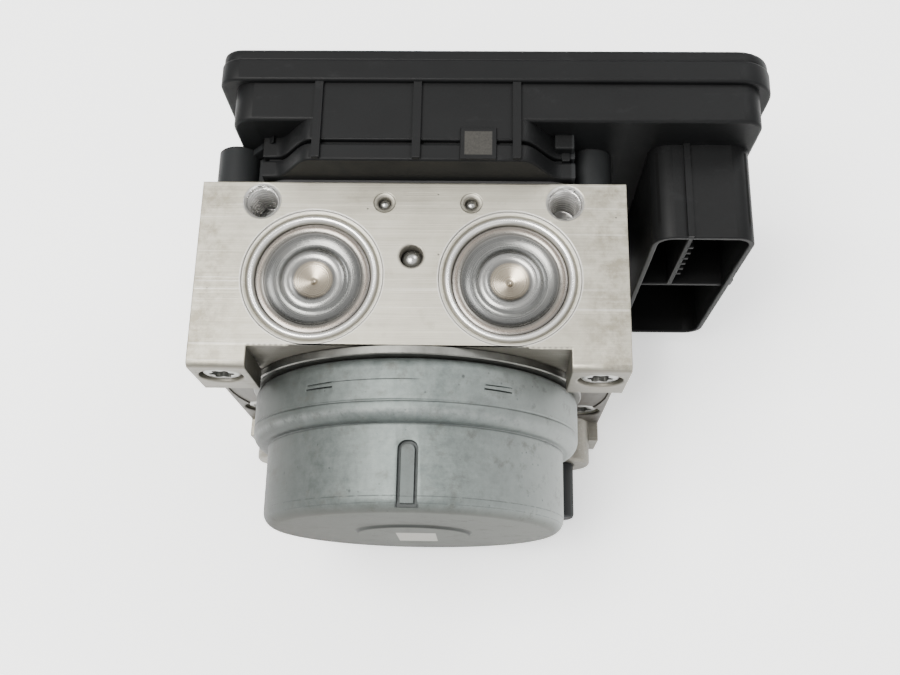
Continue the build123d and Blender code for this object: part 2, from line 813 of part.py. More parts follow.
with BuildPart() as motor_can:
    revolve(can_section(0), axis=motor_axis)
    # A pressed slot runs from the front edge along the top
    with BuildSketch(Plane.XY.offset(pump_height + can_small_radius - can_slot_depth)):
        with Locations((can_slot_offset, can_front + can_slot_length / 2 - can_slot_width / 2)):
            SlotCenterToCenter(can_slot_length, can_slot_width, rotation=90)
    extrude(amount=can_slot_depth + overcut, mode=Mode.SUBTRACT)
    # Pressed retaining tabs
    for angle in (-can_tab_angle, can_tab_angle):
        turned = Plane(origin=(0, flange_face - can_tab_inset, pump_height)).rotated((0, angle, 0))
        with BuildSketch(turned.offset(can_radius - can_tab_depth)):
            Rectangle(can_tab_width, can_tab_length)
        extrude(amount=can_tab_depth + overcut, mode=Mode.SUBTRACT)
    revolve(can_section(can_wall), axis=motor_axis, mode=Mode.SUBTRACT)
motor_can.part.label = "motor_can"
export_step(motor_can.part, "parts/motor_can.step")

inner_front = can_front + can_wall
can_bore = can_small_radius - can_wall
core_radius = can_bore - magnet_thickness - air_gap
front_winding_end = inner_front + rest_gap
core_front = front_winding_end + winding_length
core_back = core_front + core_length
winding_back = core_back + winding_length
commutator_front = winding_back + rest_gap
commutator_back = commutator_front + commutator_length
plate_back = flange_face - rest_gap
plate_front = plate_back - brush_plate_thickness
bearing_front = bearing_back - bearing_width

with BuildPart() as magnets:
    with BuildSketch(across(core_front - (magnet_length - core_length) / 2)):
        with Locations((0, pump_height)):
            Circle(can_bore - seat_gap)
            Circle(can_bore - magnet_thickness, mode=Mode.SUBTRACT)
            with PolarLocations(can_bore - magnet_thickness / 2, magnet_count, start_angle=180 / magnet_count):
                gap = 2 * can_bore * math.sin(math.radians(magnet_gap_angle / 2))
                Rectangle(magnet_thickness * 2, gap, mode=Mode.SUBTRACT)
    extrude(amount=-magnet_length)
magnets.part.label = "magnets"
export_step(magnets.part, "parts/magnets.step")

with BuildPart() as armature_core:
    with BuildSketch(across(core_front)):
        with Locations((0, pump_height)):
            Circle(core_radius)
            Circle(shaft_radius + seat_gap, mode=Mode.SUBTRACT)
            with PolarLocations(core_radius + (overcut - core_slot_depth) / 2, core_slots):
                Rectangle(core_slot_depth + overcut, core_slot_width, mode=Mode.SUBTRACT)
    extrude(amount=-core_length)
armature_core.part.label = "armature_core"
export_step(armature_core.part, "parts/armature_core.step")

with BuildPart() as armature_winding:
    for start in (front_winding_end, core_back):
        with BuildSketch(across(start)):
            with Locations((0, pump_height)):
                Circle(winding_outer_radius)
                Circle(winding_inner_radius, mode=Mode.SUBTRACT)
        extrude(amount=-winding_length)
    winding_rims = armature_winding.edges().filter_by(GeomType.CIRCLE).group_by(SortBy.RADIUS)[-1]
    fillet(winding_rims, winding_length / 3)
    slot_floor = core_radius - core_slot_depth
    with BuildSketch(across(core_front)):
        with Locations((0, pump_height)):
            with PolarLocations((slot_floor + winding_outer_radius) / 2, core_slots):
                Rectangle(winding_outer_radius - slot_floor - rest_gap, core_slot_width - 2 * seat_gap)
    extrude(amount=-core_length)
armature_winding.part.label = "armature_winding"
export_step(armature_winding.part, "parts/armature_winding.step")

with BuildPart() as commutator:
    with BuildSketch(across(commutator_front)):
        with Locations((0, pump_height)):
            Circle(commutator_radius)
            with PolarLocations(commutator_radius, core_slots):
                Rectangle(2 * commutator_slot_depth, commutator_slot_width, mode=Mode.SUBTRACT)
            Circle(shaft_radius + seat_gap, mode=Mode.SUBTRACT)
    extrude(amount=-commutator_length)
commutator.part.label = "commutator"
export_step(commutator.part, "parts/commutator.step")

with BuildPart() as motor_shaft:
    with BuildSketch(across(inner_front + rest_gap)):
        with Locations((0, pump_height)):
            Circle(shaft_radius)
    extrude(amount=-(bearing_back - inner_front - rest_gap))
    with BuildSketch(across(-eccentric_width / 2)):
        with Locations((0, pump_height + pump_eccentricity)):
            Circle(eccentric_journal_radius)
    extrude(amount=-eccentric_width)
    with BuildSketch(across(bearing_back)):
        with Locations((0, pump_height)):
            Circle(shaft_radius)
    extrude(amount=-(-eccentric_width / 2 - bearing_back))
    with BuildSketch(across(eccentric_width / 2)):
        with Locations((0, pump_height)):
            Circle(shaft_tip_radius)
    extrude(amount=-shaft_tip_length)
motor_shaft.part.label = "motor_shaft"
export_step(motor_shaft.part, "parts/motor_shaft.step")

with BuildPart() as eccentric_bearing:
    with BuildSketch(across(-eccentric_width / 2)):
        with Locations((0, pump_height + pump_eccentricity)):
            Circle(eccentric_ring_radius)
            Circle(eccentric_journal_radius + seat_gap, mode=Mode.SUBTRACT)
    extrude(amount=-eccentric_width)
eccentric_bearing.part.label = "eccentric_bearing"
export_step(eccentric_bearing.part, "parts/eccentric_bearing.step")

race_radius = (bearing_radius + shaft_radius) / 2
for name, outer, inner in (
    ("bearing_outer_ring", bearing_radius, bearing_radius - bearing_race),
    ("bearing_inner_ring", shaft_radius + seat_gap + bearing_race, shaft_radius + seat_gap),
):
    with BuildPart() as bearing_ring:
        with BuildSketch(across(bearing_front)):
            with Locations((0, pump_height)):
                Circle(outer)
                Circle(inner, mode=Mode.SUBTRACT)
        extrude(amount=-bearing_width)
        with BuildSketch(Plane.YZ):
            with Locations((bearing_front + bearing_width / 2, pump_height + race_radius)):
                Circle(bearing_ball_radius + running_gap)
        revolve(axis=motor_axis, mode=Mode.SUBTRACT)
    bearing_ring.part.label = name
    export_step(bearing_ring.part, f"parts/{name}.step")

with BuildPart() as bearing_balls:
    with Locations(Plane(origin=(0, bearing_front + bearing_width / 2, pump_height), z_dir=(0, 1, 0))):
        with PolarLocations(race_radius, bearing_ball_count):
            Sphere(bearing_ball_radius)
bearing_balls.part.label = "bearing_balls"
export_step(bearing_balls.part, "parts/bearing_balls.step")

with BuildPart() as front_bush:
    with BuildSketch(across(inner_front - can_boss_height)):
        with Locations((0, pump_height)):
            Circle(bush_radius)
            Circle(shaft_radius + running_gap, mode=Mode.SUBTRACT)
    extrude(amount=-bush_length)
front_bush.part.label = "front_bush"
export_step(front_bush.part, "parts/front_bush.step")

brush_mid = (commutator_front + commutator_back) / 2
brush_inner = commutator_radius + seat_gap * 2
brush_outer = brush_inner + brush_length
with BuildPart() as brush_plate:
    with BuildSketch(across(plate_back)):
        with Locations((0, pump_height)):
            Circle(brush_plate_radius)
            Circle(commutator_radius + 2 * rest_gap, mode=Mode.SUBTRACT)
        with Locations((0, contact_z)):
            Rectangle(contact_pin_spacing + contact_pin_side, contact_pin_side, mode=Mode.SUBTRACT)
    extrude(amount=brush_plate_thickness)
    for side in sides.values():
        guide_inner = side * (brush_inner + 2 * rest_gap)
        guide_low, guide_high = sorted((guide_inner, side * (brush_outer + brush_box_overhang)))
        half = brush_height / 2 + brush_box_wall
        box_between(
            (guide_low, brush_mid - brush_width / 2 - brush_box_wall, pump_height - half),
            (guide_high, plate_front, pump_height + half),
        )
        box_between(
            (guide_low, brush_mid - brush_width / 2, pump_height - brush_height / 2),
            (guide_high, brush_mid + brush_width / 2, pump_height + brush_height / 2),
            mode=Mode.SUBTRACT,
        )
brush_plate.part.label = "brush_plate"
export_step(brush_plate.part, "parts/brush_plate.step")

with BuildPart() as brushes:
    for side in sides.values():
        brush_low, brush_high = sorted((side * brush_inner, side * brush_outer))
        box_between(
            (brush_low, brush_mid - brush_width / 2, pump_height - brush_height / 2),
            (brush_high, brush_mid + brush_width / 2, pump_height + brush_height / 2),
        )
brushes.part.label = "brushes"
export_step(brushes.part, "parts/brushes.step")

with BuildPart() as contact_sleeve:
    with BuildSketch(across(plate_back)):
        with Locations((0, contact_z)):
            Circle(contact_sleeve_radius)
        for x in (-contact_pin_spacing / 2, contact_pin_spacing / 2):
            with Locations((x, contact_z)):
                Rectangle(contact_pin_side, contact_pin_side, mode=Mode.SUBTRACT)
    extrude(amount=-(ecu_face + contact_sleeve_overhang - plate_back))
contact_sleeve.part.label = "contact_sleeve"
export_step(contact_sleeve.part, "parts/contact_sleeve.step")

with BuildPart() as motor_contacts:
    for x in (-contact_pin_spacing / 2, contact_pin_spacing / 2):
        half = contact_pin_side / 2
        box_between(
            (x - half, plate_front, contact_z - half),
            (x + half, board_back - board_thickness, contact_z + half),
        )
motor_contacts.part.label = "motor_contacts"
export_step(motor_contacts.part, "parts/motor_contacts.step")

# ---------------------------------------------------------------------------------------------------------
# Solenoid valves: cartridges in the block, plungers inside them, coils and yokes over their domes
# ---------------------------------------------------------------------------------------------------------

valve_centres = [(x, height) for height in valve_rows.values() for x in valve_xs]
dome_end = ecu_face + valve_dome_length
valve_bore_end = dome_end - valve_dome_wall
valve_bore_start = valve_bore_end - valve_plunger_length - valve_stroke - 2 * running_gap

with BuildPart() as valve_cartridges:
    with BuildSketch(across(ecu_face - valve_depth)):
        with Locations(*valve_centres):
            Circle(valve_radius - seat_gap)
    extrude(amount=-valve_depth)
    with BuildSketch(across(ecu_face)):
        with Locations(*valve_centres):
            Circle(valve_dome_radius)
    extrude(amount=-valve_dome_length)
    with BuildSketch(across(valve_bore_start)):
        with Locations(*valve_centres):
            Circle(valve_bore_radius)
    extrude(amount=-(valve_bore_end - valve_bore_start), mode=Mode.SUBTRACT)
    with BuildSketch(across(valve_bore_start)):
        with Locations(*valve_centres):
            Circle(valve_orifice_radius)
    extrude(amount=valve_bore_start - ecu_face + valve_depth, mode=Mode.SUBTRACT)
valve_cartridges.part.label = "valve_cartridges"
export_step(valve_cartridges.part, "parts/valve_cartridges.step")

for number, (row, x) in enumerate(((row, x) for row in valve_rows for x in valve_xs), start=1):
    # Outlet valves rest closed on the orifice; inlet valves rest open, a stroke away from it
    rest_offset = running_gap if row == "outlet" else running_gap + valve_stroke
    with BuildPart() as valve_plunger:
        with BuildSketch(across(valve_bore_start + rest_offset)):
            with Locations((x, valve_rows[row])):
                Circle(valve_plunger_radius)
        extrude(amount=-valve_plunger_length)
    valve_plunger.part.label = f"valve_plunger_{number}"
    export_step(valve_plunger.part, f"parts/valve_plunger_{number}.step")

yoke_start = ecu_face + rest_gap
coil_start = yoke_start + yoke_wall + seat_gap
yoke_end = coil_start + coil_length + seat_gap + yoke_wall
board_front = board_back - board_thickness
coil_pin_centres = [
    (x + side * coil_pin_spacing / 2, height + coil_radius - coil_pin_side)
    for x, height in valve_centres
    for side in sides.values()
]

with BuildPart() as coil_yokes:
    with BuildSketch(across(yoke_start)):
        with Locations(*valve_centres):
            Rectangle(yoke_width, yoke_width)
    extrude(amount=-(yoke_end - yoke_start))
    with BuildSketch(across(coil_start - seat_gap)):
        with Locations(*valve_centres):
            Rectangle(yoke_width - 2 * yoke_wall, yoke_width + overcut)
    extrude(amount=-(coil_length + 2 * seat_gap), mode=Mode.SUBTRACT)
    with BuildSketch(across(yoke_start)):
        with Locations(*valve_centres):
            Circle(valve_dome_radius + seat_gap)
    extrude(amount=-(yoke_end - yoke_start), mode=Mode.SUBTRACT)
    with BuildSketch(across(yoke_end)):
        with Locations(*coil_pin_centres):
            Rectangle(yoke_notch_width, yoke_notch_height)
    extrude(amount=yoke_wall, mode=Mode.SUBTRACT)
coil_yokes.part.label = "coil_yokes"
export_step(coil_yokes.part, "parts/coil_yokes.step")

with BuildPart() as coils:
    with BuildSketch(across(coil_start)):
        with Locations(*valve_centres):
            Circle(coil_radius - seat_gap)
            Circle(valve_dome_radius + 2 * seat_gap, mode=Mode.SUBTRACT)
    extrude(amount=-coil_length)
    with BuildSketch(across(coil_start + coil_length / 2)):
        with Locations(*coil_pin_centres):
            Rectangle(coil_pin_side, coil_pin_side)
    extrude(amount=-(board_front - coil_start - coil_length / 2))
coils.part.label = "coils"
export_step(coils.part, "parts/coils.step")

# ---------------------------------------------------------------------------------------------------------
# Fixing screws and gasket
# ---------------------------------------------------------------------------------------------------------

screw_end = housing_front + screw_engagement
screw_seats = {"upper": foot_face + screw_counterbore_depth, "lower": motor_face + screw_counterbore_depth}

with BuildPart() as fixing_screws:
    for row, seat in screw_seats.items():
        centres = [(side * screw_x, screw_heights[row]) for side in sides.values()]
        with BuildSketch(across(seat)):
            with Locations(*centres):
                Circle(screw_head_radius)
        extrude(amount=screw_head_height)
        with BuildSketch(across(seat)):
            with Locations(*centres):
                Circle(screw_radius)
        extrude(amount=-(screw_end - seat))
        with BuildSketch(across(seat - screw_head_height)):
            with Locations(*centres):
                RegularPolygon(screw_socket / 2, 6, major_radius=False)
        extrude(amount=-screw_socket_depth, mode=Mode.SUBTRACT)
fixing_screws.part.label = "fixing_screws"
export_step(fixing_screws.part, "parts/fixing_screws.step")

gasket_top = block_height - block_edge
coil_space = (
    bowl_left + gasket_width,
    bowl_right - gasket_width,
    bowl_bottom + gasket_width,
    gasket_top - gasket_width,
)
with BuildPart() as housing_gasket:
    with BuildSketch(across(ecu_face)):
        add(rounded_outline(bowl_left, bowl_right, bowl_bottom, gasket_top, bowl_radius, bowl_radius))
        inner_radius = bowl_radius - gasket_width
        add(rounded_outline(*coil_space, inner_radius, inner_radius), mode=Mode.SUBTRACT)
    extrude(amount=-gasket_thickness)
housing_gasket.part.label = "housing_gasket"
export_step(housing_gasket.part, "parts/housing_gasket.step")

# ---------------------------------------------------------------------------------------------------------
# Controller: housing with its plug socket, lid, circuit board and pins
# ---------------------------------------------------------------------------------------------------------

tub_front = tub_floor + tub_wall
box_inside = (box_left + box_wall, box_right - box_wall, box_bottom + box_wall, box_top - box_wall)
inside_radius = box_radius - box_wall
divider_left = divider_x - divider_wall / 2
divider_right = divider_x + divider_wall / 2
chamber_left = socket_left + socket_wall
chamber_right = socket_right - socket_wall
chamber_bottom = socket_bottom + socket_wall
chamber_top = socket_top - socket_wall
small_pin_right = [
    (divider_right + (chamber_right - divider_right) / 2 + column * small_pin_pitch, divider_height + row_z)
    for column in (-1, 0, 1)
    for row_z in [pin_margin + row * small_pin_pitch for row in range(small_pin_rows)]
]
small_pin_left = [
    ((chamber_left + divider_left) / 2, divider_height + pin_margin + row * small_pin_pitch)
    for row in range(small_pin_rows)
]
power_pin_x = (chamber_left + chamber_right) / 2
power_pins = [
    (power_pin_x, chamber_bottom + first_power_pin + row * power_pin_pitch) for row in range(power_pin_count)
]

with BuildPart() as controller_housing:
    with BuildSketch(across(rim_front)):
        add(rounded_outline(rim_left, rim_right, rim_bottom, rim_top, rim_left_radius, rim_right_radius))
    extrude(amount=-(rim_back - rim_front))
    with BuildSketch(across(box_front)):
        add(rounded_outline(box_left, box_right, box_bottom, box_top, box_radius, box_radius))
    extrude(amount=-(rim_front - box_front))
    with BuildSketch(across(housing_front)):
        add(bowl_outline(0))
    extrude(amount=-(box_front - housing_front))
    # Groove across the hump
    with BuildSketch(across(housing_front + groove_offset)):
        add(bowl_outline(0))
        add(bowl_outline(groove_depth), mode=Mode.SUBTRACT)
        Rectangle(4 * block_width, 2 * (hump_shoulder - groove_depth), mode=Mode.SUBTRACT)
    extrude(amount=-groove_width, mode=Mode.SUBTRACT)
    # Coil space, open towards the block below the gasket's top edge
    with BuildSketch(across(housing_front)):
        add(rounded_outline(*coil_space, inner_radius, inner_radius))
    extrude(amount=-hump_front_wall, mode=Mode.SUBTRACT)
    with BuildSketch(across(housing_front + hump_front_wall)):
        add(bowl_outline(bowl_wall))
    extrude(amount=-(tub_floor - housing_front - hump_front_wall), mode=Mode.SUBTRACT)
    # Board space behind the partition, deeper behind the plug socket
    with BuildSketch(across(tub_front)):
        add(rounded_outline(*box_inside, inside_radius, inside_radius))
    extrude(amount=-(rim_back - tub_front), mode=Mode.SUBTRACT)
    with BuildSketch(across(box_front + box_wall)):
        deep = (bowl_right + box_wall, *box_inside[1:])
        add(rounded_outline(*deep, inside_radius, inside_radius))
    extrude(amount=-(tub_front - box_front - box_wall), mode=Mode.SUBTRACT)
    # Ribs along the top
    for rib_x in (rib_centre - rib_pitch, rib_centre, rib_centre + rib_pitch):
        box_between(
            (rib_x - rib_width / 2, housing_front, box_top - box_wall / 2),
            (rib_x + rib_width / 2, rim_front, box_top + rib_height),
        )
    # Screw bosses and the webs that tie them to the bowl
    for height in screw_heights.values():
        with BuildSketch(across(housing_front)):
            with Locations(*((side * screw_x, height) for side in sides.values())):
                Circle(boss_radius)
        extrude(amount=-(box_front - housing_front))
        for left, right in ((-screw_x, bowl_left + bowl_wall / 2), (bowl_right - bowl_wall / 2, screw_x)):
            box_between(
                (left, housing_front, height - bowl_wall / 2),
                (right, box_front, height + bowl_wall / 2),
            )
        with BuildSketch(across(housing_front)):
            with Locations(*((side * screw_x, height) for side in sides.values())):
                Circle(screw_radius + seat_gap)
        extrude(amount=-(screw_engagement + rest_gap), mode=Mode.SUBTRACT)
    # Plug socket with its divider and partition
    with BuildSketch(across(socket_mouth)):
        socket_outline = (socket_left, socket_right, socket_bottom, socket_top)
        add(rounded_outline(*socket_outline, socket_radius, socket_radius))
    extrude(amount=-(box_front - socket_mouth))
    with BuildSketch(across(socket_mouth)):
        chamber_corner = socket_radius - socket_wall
        chamber = (chamber_left, chamber_right, chamber_bottom, chamber_top)
        add(rounded_outline(*chamber, chamber_corner, chamber_corner))
    extrude(amount=-(socket_floor - socket_mouth), mode=Mode.SUBTRACT)
    divider_mouth = socket_mouth + divider_recess
    box_between(
        (divider_left, divider_mouth, divider_height),
        (divider_right, socket_floor, chamber_top + socket_wall / 2),
    )
    box_between(
        (chamber_left - socket_wall / 2, divider_mouth, divider_height - divider_wall / 2),
        (chamber_right + socket_wall / 2, socket_floor, divider_height + divider_wall / 2),
    )
    for rib in range(divider_rib_count):
        middle = (divider_height + chamber_top) / 2 + (rib - (divider_rib_count - 1) / 2) * divider_rib_pitch
        box_between(
            (divider_x, divider_mouth, middle - divider_rib_size / 2),
            (divider_right + divider_rib_size, socket_floor, middle + divider_rib_size / 2),
        )
    # Key rib on top of the socket and the latch nub on its side
    box_between(
        ((socket_left + socket_right) / 2 - socket_rib_width / 2, socket_mouth, socket_top - socket_wall / 2),
        ((socket_left + socket_right) / 2 + socket_rib_width / 2, box_front, socket_top + socket_rib_height),
    )
    latch_low = (socket_bottom + socket_top) / 2 - latch_height / 2
    latch_front = socket_mouth + latch_length
    box_between(
        (socket_right - socket_wall / 2, latch_front, latch_low),
        (socket_right + latch_width, latch_front + latch_length, latch_low + latch_height),
    )
    # Board posts
    for x, start in ((left_post_x, tub_front), (right_post_x, box_front + box_wall)):
        with BuildSketch(across(start)):
            with Locations((x, box_bottom + post_inset), (x, box_top - post_inset)):
                Circle(post_radius)
        extrude(amount=-(board_front - start))
    # Slots for the coils' pins and the motor's contacts
    with BuildSketch(across(tub_floor)):
        with Locations(*coil_pin_centres):
            Rectangle(coil_pin_slot, coil_pin_slot)
        with Locations((0, contact_z)):
            Rectangle(contact_pin_spacing + contact_slot, contact_slot)
    extrude(amount=-tub_wall, mode=Mode.SUBTRACT)
    # The moulded-in pins leave their own slots in the socket floor
    with BuildSketch(across(socket_floor)):
        with Locations(*small_pin_left, *small_pin_right):
            Rectangle(small_pin, small_pin)
        with Locations(*power_pins):
            Rectangle(power_pin_width, small_pin)
    extrude(amount=-(box_front + box_wall - socket_floor), mode=Mode.SUBTRACT)
controller_housing.part.label = "controller_housing"
export_step(controller_housing.part, "parts/controller_housing.step")

with BuildPart() as connector_pins:
    with BuildSketch(across(pin_tip)):
        with Locations(*small_pin_left, *small_pin_right):
            Rectangle(small_pin, small_pin)
        with Locations(*power_pins):
            Rectangle(power_pin_width, small_pin)
    extrude(amount=-(board_front - pin_tip))
connector_pins.part.label = "connector_pins"
export_step(connector_pins.part, "parts/connector_pins.step")

with BuildPart() as controller_lid:
    lid_outline = (rim_left + lid_inset, rim_right - lid_inset, rim_bottom + lid_inset, rim_top - lid_inset)
    with BuildSketch(across(rim_back)):
        add(rounded_outline(*lid_outline, rim_left_radius - lid_inset, rim_right_radius - lid_inset))
    extrude(amount=-lid_thickness)
    fillet(controller_lid.edges().group_by(Axis.Y)[-1], lid_edge_radius)
    tongue_outline = (
        box_inside[0] + rest_gap,
        box_inside[1] - rest_gap,
        box_inside[2] + rest_gap,
        box_inside[3] - rest_gap,
    )
    with BuildSketch(across(rim_back - lid_tongue)):
        add(rounded_outline(*tongue_outline, inside_radius - rest_gap, inside_radius - rest_gap))
        offset(amount=-lid_tongue_wall, mode=Mode.SUBTRACT)
    extrude(amount=-lid_tongue)
controller_lid.part.label = "controller_lid"
export_step(controller_lid.part, "parts/controller_lid.step")

with BuildPart() as circuit_board:
    board_outline = (
        box_left + board_inset,
        box_right - board_inset,
        box_bottom + board_inset,
        box_top - board_inset,
    )
    with BuildSketch(across(board_front)):
        add(rounded_outline(*board_outline, board_radius, board_radius))
    extrude(amount=-board_thickness)
circuit_board.part.label = "circuit_board"
export_step(circuit_board.part, "parts/circuit_board.step")

with BuildPart() as board_components:
    for x, z, width, height, thickness in back_components:
        box_between(
            (x - width / 2, board_back, z - height / 2),
            (x + width / 2, board_back + thickness, z + height / 2),
        )
    for x, z, width, height, thickness in front_components:
        box_between(
            (x - width / 2, board_front - thickness, z - height / 2),
            (x + width / 2, board_front, z + height / 2),
        )
    with BuildSketch(across(board_front)):
        with Locations(*capacitor_places):
            Circle(capacitor_radius)
    extrude(amount=capacitor_length)
board_components.part.label = "board_components"
export_step(board_components.part, "parts/board_components.step")
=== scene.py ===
import json
import math

import bmesh
import bpy
from mathutils import Matrix, Vector


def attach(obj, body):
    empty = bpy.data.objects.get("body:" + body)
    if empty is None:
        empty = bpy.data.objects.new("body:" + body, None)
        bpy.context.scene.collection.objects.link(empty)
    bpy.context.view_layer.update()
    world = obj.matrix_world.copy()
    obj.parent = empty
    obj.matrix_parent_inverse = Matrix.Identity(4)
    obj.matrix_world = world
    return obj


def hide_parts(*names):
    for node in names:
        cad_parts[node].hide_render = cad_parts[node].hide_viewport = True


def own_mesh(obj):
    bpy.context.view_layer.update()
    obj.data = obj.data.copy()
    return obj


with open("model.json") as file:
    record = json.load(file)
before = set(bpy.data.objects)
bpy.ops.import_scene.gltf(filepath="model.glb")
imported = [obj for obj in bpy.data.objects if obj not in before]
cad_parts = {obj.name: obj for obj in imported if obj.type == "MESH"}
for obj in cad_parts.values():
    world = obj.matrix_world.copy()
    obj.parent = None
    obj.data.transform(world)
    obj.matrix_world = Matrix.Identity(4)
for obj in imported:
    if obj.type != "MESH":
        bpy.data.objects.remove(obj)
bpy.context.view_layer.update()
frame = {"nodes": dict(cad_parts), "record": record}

MM = 0.001

# --------------------------------------------------------------------------------------------------
# Sizes of the unit, in millimetres
# --------------------------------------------------------------------------------------------------

block_half, block_deep, block_top = 50.0, 20.25, 87.0
face_root = -19.8  # feet, pads and bosses start just inside the block's front face
foot_inner, foot_bottom, foot_front = 36.65, 67.6, -25.25
pad_inner, pad_top = 28.0, 12.5
boss_radius, boss_front = 10.4, -32.25
pump_z = 46.0
spotface_radius, spotface_floor, flange_clearance = 49.0, -19.85, 42.2
pump_bore_radius, pump_plug_radius, pump_plug_end, hexagon_radius = 8.0, 7.98, 49.5, 3.46
accumulators = (-22.77, 22.77)
accumulator_y = -3.35
cap_radius, cap_foot, lip_radius = 13.38, 81.0, 14.3
spring_low, spring_high, spring_radius, wire, spring_turns = 65.8, 81.3, 7.6, 1.4, 4
mount_holes = ((-35.6, 15.35), (35.6, 15.35))
small_balls = ((-6.7, 15.15), (13.7, 15.15))
small_balls_middle, small_balls_reach = 3.5, 10.2  # halfway in X, and from there to each
large_ball = (0.0, 1.7)
screw_x, screw_high, screw_low = 43.6, 78.4, 27.0
port_x, port_z = 37.0, 10.7
wheel_ports = (-34.5, -11.5, 11.5, 34.5)
can_back, can_radius, can_neck, can_barrel = -22.0, 41.0, 38.2, 37.2
nose_radius, nose_front = 13.5, -56.65
housing_front, box_front, rim_front, rim_back, lid_back = 21.05, 31.2, 40.9, 46.6, 49.5
bowl = (-36.0, 38.0, 12.6, 97.4)  # left, right, bottom and top, as for box, rim and socket
box = (-42.4, 81.0, 10.4, 97.4)
rim = (-46.0, 84.3, 8.2, 98.8)
rim_left_radius, rim_right_radius, lid_gap = 5, 9, 0.35
socket = (56.3, 80.3, 12.5, 86.0)
hump_left, hump_right, hump_foot = -23.6, 25.6, 88.2
socket_mouth, socket_floor, socket_wall, walls_front = 7.25, 29.0, 1.4, 8.45
divider_x, shelf_z, wall_half = 65.3, 51.0, 0.65
pin_pitch, pin_half = 3.5, 0.4
label_x, label_y, label_top = 15.2, 25.2, 98.0


# --------------------------------------------------------------------------------------------------
# Finishes
# --------------------------------------------------------------------------------------------------


class Field:
    """A number that varies over a surface."""

    def __init__(self, finish, socket):
        self.finish, self.socket = finish, socket

    def maths(self, kind, *values):
        return self.finish.node("Math", {"operation": kind}, dict(enumerate(values)))[0]

    def __add__(self, other):
        return self.maths("ADD", self, other)

    def __radd__(self, other):
        return self.maths("ADD", other, self)

    def __sub__(self, other):
        return self.maths("SUBTRACT", self, other)

    def __rsub__(self, other):
        return self.maths("SUBTRACT", other, self)

    def __mul__(self, other):
        return self.maths("MULTIPLY", self, other)

    def __rmul__(self, other):
        return self.maths("MULTIPLY", other, self)

    def __truediv__(self, other):
        return self.maths("DIVIDE", self, other)

    def __pow__(self, other):
        return self.maths("POWER", self, other)

    def __abs__(self):
        return self.maths("ABSOLUTE", self)

    def root(self):
        return self.maths("SQRT", self)

    def sine(self):
        return self.maths("SINE", self)

    def most(self, other):
        return self.maths("MAXIMUM", self, other)

    def near(self, centre, width):
        """1 at centre, falling to 0 at width from it, with a soft top."""
        peak = self.maths("MAXIMUM", 1 - abs(self - centre) / width, 0.0)
        return self.maths("SMOOTH_MIN", peak, 1.0, 0.1)

    def between(self, low, high):
        """0 below low and 1 above high."""
        places = {0: self, 1: low, 2: high, 3: 0.0, 4: 1.0}
        return self.finish.node("MapRange", {"clamp": True}, places)[0]

    def below(self, low, high):
        """1 below low and 0 above high."""
        return 1 - self.between(low, high)

    def within(self, middle, half, soft):
        """1 within half of middle, falling to 0 over the soft distance beyond."""
        return 1 - (abs(self - middle) - half).between(0.0, soft)


def apart(one, other):
    """Distance from a line, from the distances in the two directions across it."""
    return (one**2.0 + other**2.0).root()


class Outputs:
    """The sockets that a node gives, by number or name."""

    def __init__(self, finish, made):
        self.finish, self.made = finish, made

    def __getitem__(self, key):
        return Field(self.finish, self.made.outputs[key])


